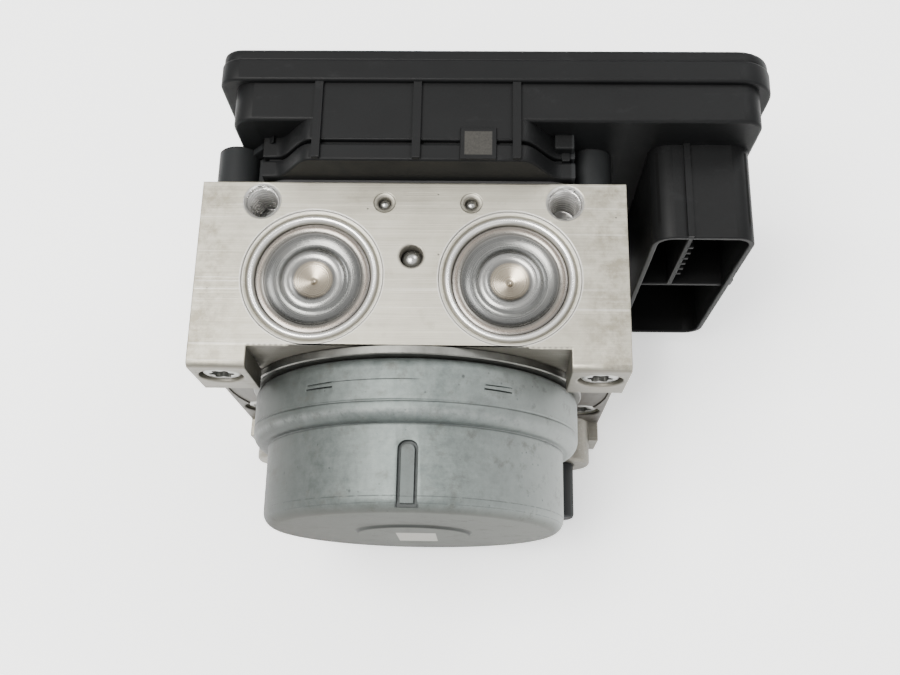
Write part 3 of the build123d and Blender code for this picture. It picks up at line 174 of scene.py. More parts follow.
class Finish:
    """One material, drawn in millimetres of the unit's own frame."""

    def __init__(self, name, roughness=0.5, metallic=0.0, **fixed):
        self.material = bpy.data.materials.new(name)
        self.material.use_nodes = True
        self.tree = self.material.node_tree
        self.shader = self.tree.nodes["Principled BSDF"]
        self.shader.inputs["Roughness"].default_value = roughness
        self.shader.inputs["Metallic"].default_value = metallic
        for socket, value in fixed.items():
            self.shader.inputs[socket.replace("_", " ")].default_value = value
        coords = self.node("TexCoord")["Object"]
        scaling = {0: coords, "Scale": 1 / MM}
        self.place = self.node("VectorMath", {"operation": "SCALE"}, scaling)[0]
        parts = self.node("SeparateXYZ", None, {0: self.place})
        self.x, self.y, self.z = parts[0], parts[1], parts[2]

    def node(self, kind, settings=None, links=None):
        made = self.tree.nodes.new("ShaderNode" + kind)
        for key, value in (settings or {}).items():
            if key == "stops":
                ramp = made.color_ramp
                while len(ramp.elements) < len(value):
                    ramp.elements.new(0.5)
                for element, (where, colour) in zip(ramp.elements, value):
                    element.position = where
                    element.color = (*colour, 1.0)
            else:
                setattr(made, key, value)
        for key, value in (links or {}).items():
            if isinstance(value, Field):
                self.tree.links.new(value.socket, made.inputs[key])
            elif isinstance(value, tuple) and made.inputs[key].type == "RGBA":
                made.inputs[key].default_value = (*value, 1.0)
            else:
                made.inputs[key].default_value = value
        return Outputs(self, made)

    def stretched(self, x=1.0, y=1.0, z=1.0):
        """The place with each direction scaled, so that a grain can run along one of them."""
        scaling = {0: self.place, 1: (x, y, z)}
        return self.node("VectorMath", {"operation": "MULTIPLY"}, scaling)[0]

    def moved(self, place, offset):
        return self.node("VectorMath", {"operation": "ADD"}, {0: place or self.place, 1: offset})[0]

    def noise(self, size, detail=2.0, rough=0.5, place=None, seed=0.0):
        """Cloudy noise about 0.5, with patches of this size in millimetres."""
        where = self.moved(place, (seed, seed * 2, -seed))
        looks = {"Vector": where, "Scale": 1 / size, "Detail": detail, "Roughness": rough}
        return self.node("TexNoise", None, looks)[0]

    def cells(self, size, seed=0.0):
        """Distance to the nearest of scattered points, 0 at each point."""
        where = self.moved(None, (seed, -seed, seed))
        return self.node("TexVoronoi", None, {"Vector": where, "Scale": 1 / size})["Distance"]

    def mix(self, first, second, share):
        """From the first colour at 0 to the second at 1."""
        return self.node("Mix", {"data_type": "RGBA"}, {0: share, 6: first, 7: second})[2]

    def done(self, colour, rough=None, height=None, depth=None):
        """Feeds the shader; height is a field raised by depth millimetres."""
        self.tree.links.new(colour.socket, self.shader.inputs["Base Color"])
        if rough is not None:
            self.tree.links.new(rough.socket, self.shader.inputs["Roughness"])
        if height is not None:
            raised = {"Height": height, "Distance": depth * MM, "Strength": 1.0}
            bump = self.node("Bump", None, raised)["Normal"]
            self.tree.links.new(bump.socket, self.shader.inputs["Normal"])
        return self.material


def machined_aluminium():
    """Milled block: warm pale silver with fine lines along X, faint stains, pits and scratches."""
    f = Finish("machined_aluminium", metallic=0.82)
    shadow, silver, grime = (0.185, 0.174, 0.138), (0.415, 0.397, 0.335), (0.15, 0.135, 0.10)
    polished, bright, soot_and_shade = (0.66, 0.655, 0.64), (0.46, 0.45, 0.42), (0.05, 0.045, 0.04)

    # Tool marks, dirt and wear
    lines = f.noise(0.42, 3.0, 0.7, f.stretched(0.012)).between(0.30, 0.70)
    broad = f.noise(1.6, 3.0, 0.65, f.stretched(0.02), seed=7.0).between(0.32, 0.68)
    cloud = f.noise(14.0, 5.0, 0.62, seed=3.0)
    stain = f.noise(6.0, 5.0, 0.68, seed=11.0).between(0.58, 0.76)
    pits = 1 - f.cells(7.5, seed=5.0).between(0.018, 0.04)
    scratch = f.noise(2.6, 1.0, 0.4, f.stretched(0.03, 3.0, 3.0), seed=21.0).between(0.67, 0.73)
    scratch = scratch * f.x.within(0.0, block_half - 0.5, 0.3)
    handled = f.noise(5.0, 5.0, 0.72, seed=41.0).between(0.43, 0.62)
    handled = handled * f.z.between(block_top - 0.8, block_top - 0.2)
    handled = handled * abs(f.x + 1.0).between(34.0, 46.0)
    ring_stain = apart(f.x + 38.5, f.y - 10.0).near(8.2, 0.7) * stain.most(0.35)
    arcs = (apart(f.x, f.z - pump_z) * 2.6).sine() * f.y.below(-19.9, -19.3)

    # Turned lips and rings round the accumulator caps
    around = apart(abs(f.x) - accumulators[1], f.y - accumulator_y)
    lip = around.near(lip_radius, 1.0) * f.z.between(84.6, 86.0)
    spot = around.between(15.9, 16.3) * around.below(16.5, 16.9) * f.z.between(86.0, 86.3)
    turned_lines = around.near(15.3, 0.38).most(around.near(16.42, 0.20) * 0.8)
    turned_lines = turned_lines * f.z.between(85.4, 86.0)

    # Bracket holes and ball seats, painted shade in thread roots, down holes and round balls
    hole = apart(abs(f.x) - mount_holes[1][0], f.y - mount_holes[1][1])
    bore = hole.below(4.3, 4.6) * f.z.between(60.0, 61.0)
    thread_root_shade = hole.between(3.5, 3.8) * bore * f.z.below(86.0, 86.3)
    small = apart(abs(f.x - small_balls_middle) - small_balls_reach, f.y - small_balls[0][1])
    big = apart(f.x, f.y - large_ball[1])
    seat_shade = small.near(1.75, 0.55).most(big.near(2.75, 0.65)) * f.z.between(82.0, 83.0)
    ball_bore_shade = big.below(2.5, 2.9) * f.z.below(74.0, 83.0)
    # Painted shade deeper down the bracket holes and in the ball bores
    depths = (bore * 0.8 * f.z.below(72.5, 76.5)).most(ball_bore_shade)

    # Painted shade on front faces and their middle; the broken line along the recess's upper edge
    at_top = f.z.between(block_top - 0.6, block_top - 0.2)
    front_shade = f.y.below(0.5 - block_deep, 0.6 - block_deep) * (1 - at_top)
    front_shade = front_shade * f.x.within(0.0, block_half - 0.3, 0.2)
    boss = apart(abs(f.x) - port_x, f.z - port_z).between(boss_radius + 0.1, boss_radius + 0.4)
    shade = front_shade * boss * f.y.between(foot_front - 0.55, foot_front - 0.35)
    shade = shade * f.z.below(foot_bottom - 1.6, foot_bottom - 0.1)
    shade = shade * f.z.between(pad_top + 0.5, pad_top + 1.5)
    edge = f.y.near(0.3 - block_deep, 0.35) * f.x.within(0.0, foot_inner - 0.25, 0.4) * at_top
    edge = edge * ((f.x * 5.0).sine() * 0.3 + 0.5)

    colour = f.mix(shadow, silver, lines * 0.28 + broad * 0.18 + cloud * 0.85 - 0.14)
    colour = f.mix(colour, grime, (stain * 0.35).most(handled * 0.75) + ring_stain * 0.45)
    colour = f.mix(colour, polished, lip.most(scratch * 0.18).most(bore * 0.8))
    colour = f.mix(colour, bright, spot)
    # Darkening: real pits and edge lines, with painted shade on fronts, seats, thread roots and
    # holes
    dark = edge.most(pits * 0.85).most(front_shade * (0.34 + cloud * 0.44)).most(shade * 0.90)
    dark = dark.most(seat_shade * 0.75).most(turned_lines * 0.55)
    dark = dark.most(thread_root_shade * 0.55).most(depths * 0.85)
    colour = f.mix(colour, soot_and_shade, dark)
    rough = 0.42 + cloud * 0.12 - lip * 0.27 + stain * 0.10 - bore * 0.20
    height = lines * 0.6 + broad * 0.35 + arcs * 0.35 + scratch * 0.3 - pits * 2
    return f.done(colour, rough, height, 0.022)


def pressed_cap_steel():
    """Pressed accumulator cap: grey with turned rings, a coppery rim and a yellow dimple."""
    f = Finish("pressed_cap_steel", metallic=0.96)
    from_centre = apart(abs(f.x) - accumulators[1], f.y - accumulator_y)
    turning = {"W": from_centre * 1.6, "Scale": 2.4, "Detail": 4.0}
    rings = f.node("TexNoise", {"noise_dimensions": "1D"}, turning)[0]
    cloud = f.noise(4.0, 4.0, 0.6, seed=2.0)
    outermost = 13.4
    stops = [
        (0.00, (0.10, 0.08, 0.05)),
        (0.045, (0.29, 0.245, 0.18)),
        (0.32, (0.26, 0.225, 0.17)),
        (0.35, (0.15, 0.145, 0.135)),
        (0.39, (0.20, 0.199, 0.190)),
        (0.53, (0.165, 0.165, 0.158)),
        (0.61, (0.080, 0.082, 0.078)),
        (0.655, (0.098, 0.099, 0.095)),
        (0.80, (0.122, 0.122, 0.116)),
        (0.885, (0.14, 0.13, 0.113)),
        (0.925, (0.155, 0.130, 0.107)),
        (0.965, (0.15, 0.135, 0.12)),
        (1.00, (0.04, 0.04, 0.04)),
    ]
    colour = f.node("ValToRGB", {"stops": stops}, {0: from_centre / outermost})[0]
    colour = f.mix(colour, (0.42, 0.42, 0.41), rings.between(0.4, 0.7) * 0.18)
    colour = f.mix(colour, (0.16, 0.15, 0.13), cloud.between(0.56, 0.80) * 0.22)
    rough = 0.19 + cloud * 0.12 + rings * 0.06
    return f.done(colour, rough, rings * 0.6 + cloud * 0.3, 0.03)


def zinc_can():
    """Zinc plated drawn steel: mottled cool grey with lines round it, specks and a blank label."""
    f = Finish("zinc_can", metallic=0.6, Specular_IOR_Level=0.25)
    dull, pale, shaded = (0.062, 0.074, 0.070), (0.164, 0.185, 0.177), (0.030, 0.032, 0.029)
    lit, end_grey, worn = (0.23, 0.245, 0.235), (0.056, 0.054, 0.046), (0.062, 0.059, 0.050)
    soot_and_shade, paper_white, rubbed = (0.030, 0.032, 0.032), (0.29, 0.285, 0.26), (0.25, 0.262, 0.255)

    mottle = f.noise(2.6, 6.0, 0.72, seed=4.0)
    patch = f.noise(12.0, 4.0, 0.6, seed=14.0)
    drawn = f.noise(0.7, 3.0, 0.6, f.stretched(0.05, 1.0, 0.05), seed=8.0)
    streak = f.noise(1.8, 4.0, 0.62, f.stretched(1.0, 0.10, 1.0), seed=15.0)
    specks = (1 - f.cells(2.7, seed=9.0).between(0.04, 0.12)) * patch.between(0.42, 0.54)
    spots = 1 - f.cells(11.0, seed=19.0).between(0.02, 0.045)
    wear = f.noise(4.5, 6.0, 0.75, seed=27.0).between(0.54, 0.70)
    front = f.y.below(-55.9, -54.2)

    # Lines drawn into the can, its slot painted dark as shade, its tabs, and the label on its nose
    upper = f.z.between(60.0, 61.0)
    hub = apart(f.x, f.z - pump_z)
    seam = f.y.near(-27.45, 0.15) * f.x.within(-8.0, 9.0, 3.0) * upper
    groove = f.y.near(-32.4, 0.22).most(f.y.near(-36.75, 0.30))
    crease = f.y.near(-52.7, 0.18).most(f.y.near(-54.2, 0.16) * 0.7) * streak.between(0.36, 0.50)
    # Painted shade in the slot's channel and, mottled, over its floor
    slot_shade = hub.below(36.5, 37.0) * f.x.within(0.4, 2.4, 0.3) * upper * f.y.between(-55.2, -55.0)
    slot_floor_shade = hub.below(36.8, 37.0) * slot_shade.between(0.0, 0.2) * (mottle * 0.5 + 0.25)
    slivers = hub.below(40.5, 40.9) * f.y.within(-28.1, 0.9, 0.2) * upper
    slivers = slivers * hub.between(39.5, 39.9)
    ring = hub.near(14.0, 0.5) * front
    blank = f.x.within(0.7, 4.8, 0.2) * f.z.within(41.6, 8.0, 0.2)
    blank = blank * f.y.below(nose_front + 0.05, nose_front + 0.1)
    rub = f.y.near(-34.6, 1.1) * 0.35

    blend = mottle.between(0.32, 0.68) * 0.58 + streak.between(0.30, 0.70) * 0.12
    colour = f.mix(dull, pale, blend + drawn * 0.22 + patch * 0.48 - 0.18)
    colour = f.mix(colour, shaded, f.x.below(-38.0, -4.0) * 0.95)
    colour = f.mix(colour, lit, f.x.between(8.0, 36.0) * 0.65)
    colour = f.mix(colour, end_grey, front * 0.72)
    colour = f.mix(colour, worn, wear * 0.50)
    marks = (specks.most(spots) * 0.70).most(slot_floor_shade).most(seam * 0.75).most(groove * 0.65)
    marks = marks.most(crease * 0.6).most(ring * 0.85).most(slot_shade * 0.85).most(slivers * 0.85)
    colour = f.mix(colour, soot_and_shade, marks)
    colour = f.mix(colour, paper_white, blank * 0.8)
    colour = f.mix(colour, rubbed, rub * mottle.between(0.3, 0.6))
    rough = 0.38 + mottle * 0.24 + drawn * 0.06 + wear * 0.08 + front * 0.22
    height = drawn * 0.7 + mottle * 0.7 - specks - seam * 2 - groove * 2 - crease
    return f.done(colour, rough, height, 0.04)


def plain_steel(name, dark, light, rough):
    """Plated or ground metal with faint clouding."""
    f = Finish(name, metallic=0.95)
    cloud = f.noise(3.0, 4.0, 0.6, seed=6.0)
    fine = f.noise(0.35, 2.0, 0.5, seed=12.0)
    return f.done(f.mix(dark, light, cloud), rough + cloud * 0.12, fine + cloud * 0.5, 0.01)


def moulded_plastic(name, dark, light, rough):
    """Satin black plastic: grain, scuffs, painted boss highlights and socket shade, blank square.
    """
    f = Finish(name, Specular_IOR_Level=0.11)
    scuff_grey, socket_shade_black, boss_highlight_grey = (0.024, 0.024, 0.025), (0.0008,) * 3, (0.014, 0.015, 0.0155)
    cloud = f.noise(14.0, 4.0, 0.6, seed=5.0)
    fine = f.noise(0.45, 2.0, 0.6, seed=2.0)
    scuff = f.noise(5.0, 4.0, 0.7, f.stretched(0.5, 1.0, 0.6), seed=31.0).between(0.60, 0.80)
    # Painted shade inside the plug socket, near black and rougher
    left, right, bottom, top = shrunk(socket, socket_wall - 0.1)
    socket_shade = f.x.within((left + right) / 2, (right - left) / 2, 0.3)
    socket_shade = socket_shade * f.z.within((bottom + top) / 2, (top - bottom) / 2, 0.3)
    socket_shade = socket_shade * f.y.between(socket_mouth + 0.6, socket_mouth + 5.0)
    socket_shade = socket_shade * f.y.below(socket_floor + 0.6, socket_floor + 1.0)
    # Painted highlight: the round screw bosses painted a lighter grey
    boss_highlight = abs(f.x).within(screw_x, 6.4, 0.2) * f.y.below(box_front - 0.3, box_front + 0.1)
    blank = f.x.within(label_x, 3.1, 0.1) * f.y.within(label_y, 2.9, 0.1)
    blank = blank * f.z.between(label_top - 0.1, label_top - 0.05)

    colour = f.mix(dark, light, cloud * 0.6 + fine * 0.2)
    colour = f.mix(colour, scuff_grey, scuff * 0.28)
    colour = f.mix(colour, socket_shade_black, socket_shade * 0.85)
    colour = f.mix(colour, boss_highlight_grey, boss_highlight * 0.75)
    colour = f.mix(colour, f.mix((0.016, 0.0155, 0.014), (0.040, 0.038, 0.034), fine), blank)
    rough = rough + cloud * 0.14 + scuff * 0.15 + socket_shade * 0.35
    return f.done(colour, rough, fine + cloud * 0.6, 0.02)


def matt_finish(name, dark, light, rough=0.6, metallic=0.0, size=4.0):
    """Rubber, ferrite, board and other dull inner pieces."""
    f = Finish(name, metallic=metallic)
    cloud = f.noise(size, 4.0, 0.6, seed=1.0)
    fine = f.noise(size / 12, 2.0, 0.6, seed=2.0)
    return f.done(f.mix(dark, light, cloud), rough + fine * 0.15, fine, 0.02)


def shrunk(sides, amount):
    """The left, right, bottom and top of an oblong, each moved inwards."""
    left, right, bottom, top = sides
    return left + amount, right - amount, bottom + amount, top - amount


finishes = {
    "block_aluminium": machined_aluminium(),
    "cap_steel": pressed_cap_steel(),
    "can_steel": zinc_can(),
}
steels = {
    "flange_steel": ((0.07, 0.07, 0.064), (0.19, 0.19, 0.175), 0.36),
    "screw_steel": ((0.13, 0.13, 0.122), (0.42, 0.42, 0.40), 0.24),
    "steel": ((0.22, 0.22, 0.21), (0.42, 0.42, 0.405), 0.22),
    "piston_aluminium": ((0.60, 0.60, 0.58), (0.76, 0.76, 0.74), 0.34),
}
plastics = {
    "black_plastic": ((0.0026, 0.0027, 0.0028), (0.0066, 0.0069, 0.0071), 0.44),
    "plug_plastic": ((0.008, 0.008, 0.008), (0.018, 0.018, 0.018), 0.55),
}
inner_finishes = {
    "brush_holder_plastic": ((0.06, 0.05, 0.04), (0.12, 0.10, 0.08)),
    "sleeve_plastic": ((0.03, 0.03, 0.03), (0.07, 0.07, 0.07)),
    "board_green": ((0.015, 0.10, 0.045), (0.03, 0.16, 0.07), 0.4),
    "component_black": ((0.015, 0.015, 0.015), (0.04, 0.04, 0.04), 0.45),
    "copper": ((0.42, 0.16, 0.07), (0.66, 0.30, 0.15), 0.3, 0.9, 1.2),
    "contact_metal": ((0.10, 0.095, 0.085), (0.17, 0.165, 0.15), 0.45, 0.9, 1.2),
    "bronze": ((0.30, 0.18, 0.07), (0.48, 0.30, 0.13), 0.45, 0.9),
    "magnet_ferrite": ((0.04, 0.04, 0.045), (0.08, 0.08, 0.085)),
    "carbon": ((0.02, 0.02, 0.02), (0.05, 0.05, 0.05)),
    "seal_rubber": ((0.01, 0.01, 0.01), (0.025, 0.025, 0.025)),
}
for maker, kinds in (
    (plain_steel, steels),
    (moulded_plastic, plastics),
    (matt_finish, inner_finishes),
):
    for name, looks in kinds.items():
        finishes[name] = maker(name, *looks)

slots = {row["node"]: row["material_slot"] for row in frame["record"]["subparts"]}
for node, shape in frame["nodes"].items():
    finish = finishes[slots[node]]
    if not shape.material_slots:
        shape.data.materials.append(finish)
    for material_slot in shape.material_slots:
        material_slot.material = finish


# --------------------------------------------------------------------------------------------------
# Shaping tools
# --------------------------------------------------------------------------------------------------


def rounded_corners(points, radii, steps=10):
    """A closed outline whose corners are arcs of these radii; 0 keeps a corner sharp."""
    outline = []
    for index, (corner, radius) in enumerate(zip(points, radii)):
        corner = Vector(corner)
        before = (Vector(points[index - 1]) - corner).normalized()
        after = (Vector(points[(index + 1) % len(points)]) - corner).normalized()
        if radius <= 0:
            outline.append(corner)
            continue
        half = before.angle(after) / 2
        middle = corner + (before + after).normalized() * (radius / math.sin(half))
        start = corner + before * (radius / math.tan(half)) - middle
        turn = (math.pi - 2 * half) * (1 if before.cross(after) < 0 else -1)
        for step in range(steps + 1):
            outline.append(middle + Matrix.Rotation(turn * step / steps, 2) @ start)
    return outline


def oblong(left, right, bottom, top):
    """Its corners, from the first and lowest round by the lower right one."""
    return [(left, bottom), (right, bottom), (right, top), (left, top)]


def rounded_box(left, right, bottom, top, left_radius, right_radius):
    """An outline in X and Z with one corner radius on each side."""
    radii = [left_radius, right_radius, right_radius, left_radius]
    return rounded_corners(oblong(left, right, bottom, top), radii)


def prism(mesh, outline, low, high, bevel=0.0, axis="Y", hole=None):
    """An outline extruded along X (drawn in Y, Z), Y (X, Z) or Z (X, Y), its end edges rounded."""

    def at(point, depth):
        if axis == "Y":
            return (point[0], depth, point[1])
        return (depth, point[0], point[1]) if axis == "X" else (point[0], point[1], depth)

    angles = [math.pi / 2 * step / 3 for step in (3, 2, 1, 0)] if bevel else [math.pi / 2]
    ends = [(bevel * (1 - math.sin(a)), bevel * (1 - math.cos(a))) for a in angles]
    depths = [(low + rise, shrink) for rise, shrink in ends]
    depths += [(high - rise, shrink) for rise, shrink in ends[::-1]]

    loops = []
    for sides, way in ((outline, 1), (hole, -1)) if hole else ((outline, 1),):
        rings = []
        for depth, shrink in depths:
            rings.append([mesh.verts.new(at(p, depth)) for p in inset(sides, way * shrink)])
        loops.append(rings)
    for rings in loops:
        for lower, upper in zip(rings, rings[1:]):
            for i in range(len(lower)):
                j = (i + 1) % len(lower)
                mesh.faces.new((lower[i], lower[j], upper[j], upper[i]))
    for end in (0, -1):
        edges = []
        for rings in loops:
            ring = rings[end]
            edges += [mesh.edges.get(pair) for pair in zip(ring, ring[1:] + ring[:1])]
        if hole:
            bmesh.ops.triangle_fill(mesh, use_beauty=True, use_dissolve=True, edges=edges)
        else:
            mesh.faces.new(loops[0][end])


def inset(outline, amount):
    """The outline moved inwards, each point along its corner's bisector."""
    least_share = 0.35  # a sharper corner's point goes no further than amount over this
    if not amount:
        return outline
    area = sum(a[0] * b[1] - b[0] * a[1] for a, b in zip(outline, outline[1:] + outline[:1]))
    side = 1 if area > 0 else -1
    moved = []
    befores, afters = outline[-1:] + outline[:-1], outline[1:] + outline[:1]
    for before, point, after in zip(befores, outline, afters):
        before, point, after = Vector(before), Vector(point), Vector(after)
        one = (point - before).normalized()
        two = (after - point).normalized()
        inward_one, inward_two = Vector((-one.y, one.x)) * side, Vector((-two.y, two.x)) * side
        middle = (inward_one + inward_two).normalized()
        moved.append(point + middle * (amount / max(least_share, middle.dot(inward_one))))
    return moved


def turned(mesh, profile, centre, axis="Z", steps=128, ripple=None):
    """A closed profile of (radius, place along the axis) spun about an axis through centre."""
    on_axis = 1e-6
    rings = []
    for radius, along in profile:
        ring = []
        for step in range(1 if radius < on_axis else steps):
            angle = 2 * math.pi * step / steps
            reach = radius + (ripple(angle, radius, along) if ripple else 0.0)
            across, up = reach * math.cos(angle), reach * math.sin(angle)
            if axis == "Z":
                ring.append(mesh.verts.new((centre[0] + across, centre[1] + up, along)))
            elif axis == "Y":
                ring.append(mesh.verts.new((centre[0] + across, along, centre[1] + up)))
            else:
                ring.append(mesh.verts.new((along, centre[0] + across, centre[1] + up)))
        rings.append(ring)
    pairs = list(zip(rings, rings[1:]))
    if profile[0][0] > on_axis:
        pairs.append((rings[-1], rings[0]))
    for low, high in pairs:
        for i in range(steps):
            j = (i + 1) % steps
            corners = [low[i % len(low)], low[j % len(low)]]
            corners += [high[j % len(high)], high[i % len(high)]]
            corners = [v for n, v in enumerate(corners) if v not in corners[:n]]
            if len(corners) > 2:
                mesh.faces.new(corners)


def piece(name, mesh, finish, *replaced, body="module", sharp=38):
    """Turns a mesh drawn in millimetres into a finished piece that stands for CAD nodes."""
    bmesh.ops.recalc_face_normals(mesh, faces=mesh.faces)
    for face in mesh.faces:
        # Broad faces square to the frame stay flat
        squared = max(abs(part) for part in face.normal) > 0.99995
        face.smooth = not (squared and face.calc_area() > 1.0)
    for edge in mesh.edges:
        if len(edge.link_faces) == 2 and edge.calc_face_angle(0) > math.radians(sharp):
            edge.smooth = False
    bmesh.ops.scale(mesh, vec=(MM, MM, MM), verts=mesh.verts)
    data = bpy.data.meshes.new(name)
    mesh.to_mesh(data)
    mesh.free()
    data.materials.append(finishes[finish])
    shape = bpy.data.objects.new(name, data)
    bpy.context.scene.collection.objects.link(shape)
    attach(shape, body)
    if replaced:
        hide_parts(*replaced)
    return shape


def loose(mesh):
    """A hidden helper object for cutting, in millimetres."""
    bmesh.ops.recalc_face_normals(mesh, faces=mesh.faces)
    data = bpy.data.meshes.new("helper")
    mesh.to_mesh(data)
    mesh.free()
    shape = bpy.data.objects.new("helper", data)
    bpy.context.scene.collection.objects.link(shape)
    return shape


def carved(base, joined=None, cut=None, bevel=0.0):
    """A new mesh: the base with another joined and another cut away, its sharp edges eased."""
    shape = loose(base)
    helpers = [shape]
    for other, operation in ((joined, "UNION"), (cut, "DIFFERENCE")):
        if other is None:
            continue
        tool = loose(other)
        helpers.append(tool)
        change = shape.modifiers.new(operation, "BOOLEAN")
        change.operation, change.object = operation, tool
        change.solver, change.use_self = "EXACT", True
    if bevel:
        ease = shape.modifiers.new("ease", "BEVEL")
        ease.width, ease.segments = bevel, 2
        ease.limit_method, ease.angle_limit = "ANGLE", math.radians(40)
        ease.use_clamp_overlap = False
    bpy.context.view_layer.update()
    eased = shape.evaluated_get(bpy.context.evaluated_depsgraph_get())
    data = bpy.data.meshes.new_from_object(eased)
    result = bmesh.new()
    result.from_mesh(data)
    bpy.data.meshes.remove(data)
    for helper in helpers:
        bpy.data.objects.remove(helper)
    return result


def thread(mesh, radius, depth, pitch, centre, low, high, steps=64):
    """A helical thread's cutter between two heights."""
    rows = int(round((high - low) / pitch * 8))

    def ripple(angle, reach, along):
        phase = ((along - low) / pitch + angle / (2 * math.pi)) % 1
        return depth * (1 - abs(2 * phase - 1)) if reach > radius * 0.9 else 0.0

    side = [(radius, low + (high - low) * row / rows) for row in range(rows + 1)]
    turned(mesh, [(0.0, low)] + side + [(0.0, high)], centre, "Z", steps, ripple)


def mirrored(profile, side):
    """A profile along X, turned over for the left side."""
    return [(radius, side * along) for radius, along in profile]


# --------------------------------------------------------------------------------------------------
# Valve block
# --------------------------------------------------------------------------------------------------

body_mesh, added, removed = bmesh.new(), bmesh.new(), bmesh.new()
plan = oblong(-block_half, block_half, -block_deep, block_deep)
prism(body_mesh, plan, 0, block_top, axis="Z")
foot = oblong(face_root, foot_front, foot_bottom, block_top)
foot = rounded_corners(foot, [0, 0, 1.5, 0], 6)
pad = oblong(face_root, foot_front, 0.0, pad_top)
boss = [(0, face_root), (boss_radius, face_root), (boss_radius, -31.6)]
boss += [(9.8, boss_front), (0, boss_front)]
for side in (-1, 1):
    prism(added, foot, *sorted((side * foot_inner, side * block_half)), axis="X")
    prism(added, pad, *sorted((side * pad_inner, side * block_half)), axis="X")
    turned(added, boss, (side * port_x, port_z), "Y", 72)

# Cutters reach past the surfaces that they open
above, before = block_top + 1, -33.0
spotface = [(0, spotface_floor), (spotface_radius, spotface_floor), (spotface_radius, -20.30)]
spotface += [(flange_clearance, -20.31), (flange_clearance, before), (0, before)]
turned(removed, spotface, (0, pump_z), "Y", 180)
lip = [(0, above), (16.4, above), (16.4, 86.68), (16.25, 86.6), (15.5, 86.55), (15.35, 86.2)]
lip += [(15.2, 86.2), (15.05, 86.5), (14.85, 86.76), (14.55, 86.88), (14.25, 86.84)]
lip += [(13.95, 86.66), (13.7, 86.35), (13.5, 85.9), (13.44, 85.3), (13.44, 80.5), (0, 80.5)]
for x in accumulators:
    turned(removed, lip, (x, accumulator_y), "Z", 144)
mouth = [(0, above), (4.5, above), (4.5, 87.0), (3.95, 86.3), (3.8, 85.9), (0, 85.9)]
for centre in mount_holes:
    turned(removed, mouth, centre, "Z", 64)
    thread(removed, radius=3.4, depth=0.7, pitch=1.25, centre=centre, low=73.5, high=86.4)
small_bore = [(0, above), (2.5, above), (2.5, 86.75), (1.6, 86.7), (1.5, 86.5), (1.5, 70), (0, 70)]
large_bore = [(0, above), (2.95, above), (2.9, 87.0), (2.6, 86.7), (2.6, 77), (0, 77)]
for centre in small_balls:
    turned(removed, small_bore, centre, "Z", 40)
turned(removed, large_bore, large_ball, "Z", 48)
mouth = [(0, -1), (5.5, -1), (5.4, 0.0), (4.7, 0.8), (0, 0.8)]
for x in wheel_ports:
    turned(removed, mouth, (x, 0), "Z", 56)
    thread(removed, radius=4.5, depth=0.45, pitch=1.0, centre=(x, 0), low=0.5, high=12.5, steps=56)
port = [(0, before), (6.3, before), (6.3, boss_front), (5.4, -31.4), (5.4, -17.3), (0, -17.3)]
pump_bore = [(0, 42), (pump_bore_radius, 42), (pump_bore_radius, 49.7), (8.3, 51), (0, 51)]
for side in (-1, 1):
    turned(removed, port, (side * port_x, port_z), "Y", 56)
    for z, face in ((screw_high, foot_front), (screw_low, -block_deep)):
        seat = [(0, face - 1), (5.4, face - 1), (5.4, face)]
        seat += [(5.1, face + 0.3), (5.1, face + 5), (0, face + 5)]
        turned(removed, seat, (side * screw_x, z), "Y", 56)
        hole = [(0, face + 4), (3.1, face + 4), (3.1, 21), (0, 21)]
        turned(removed, hole, (side * screw_x, z), "Y", 32)
    turned(removed, mirrored(pump_bore, side), (0, pump_z), "X", 72)
block_mesh = carved(body_mesh, added, removed, 0.22)
for corner in block_mesh.verts:
    corner.co.z = min(corner.co.z, block_top)
    corner.co.y = min(corner.co.y, block_deep)
piece("valve_block_body", block_mesh, "block_aluminium", "valve_block")

# --------------------------------------------------------------------------------------------------
# Accumulator caps and springs, ball plugs and pump plugs
# --------------------------------------------------------------------------------------------------

cap_rings = [(0.0, cap_foot), (cap_radius, cap_foot), (cap_radius, 85.35), (13.3, 85.6)]
cap_rings += [(13.05, 85.7), (12.3, 85.72), (11.8, 85.66), (11.4, 85.45), (10.9, 85.05)]
cap_rings += [(10.2, 84.62), (9.5, 84.34), (8.9, 84.22), (8.4, 84.2), (8.0, 84.26)]
cap_rings += [(7.65, 84.45), (7.3, 84.75), (6.9, 84.97), (6.4, 85.08), (5.9, 85.08)]
cap_rings += [(5.4, 84.98), (4.95, 84.78), (4.6, 84.5), (3.4, 84.08), (2.2, 83.66)]
cap_rings += [(1.1, 83.28), (0.6, 83.12), (0.45, 82.95), (0.2, 82.86), (0.0, 82.85)]
for name, x in zip(("left", "right"), accumulators):
    cap = bmesh.new()
    turned(cap, cap_rings, (x, accumulator_y), "Z", 144)
    piece(f"cap_{name}", cap, "cap_steel", f"accumulator_cap_{name}", sharp=50)

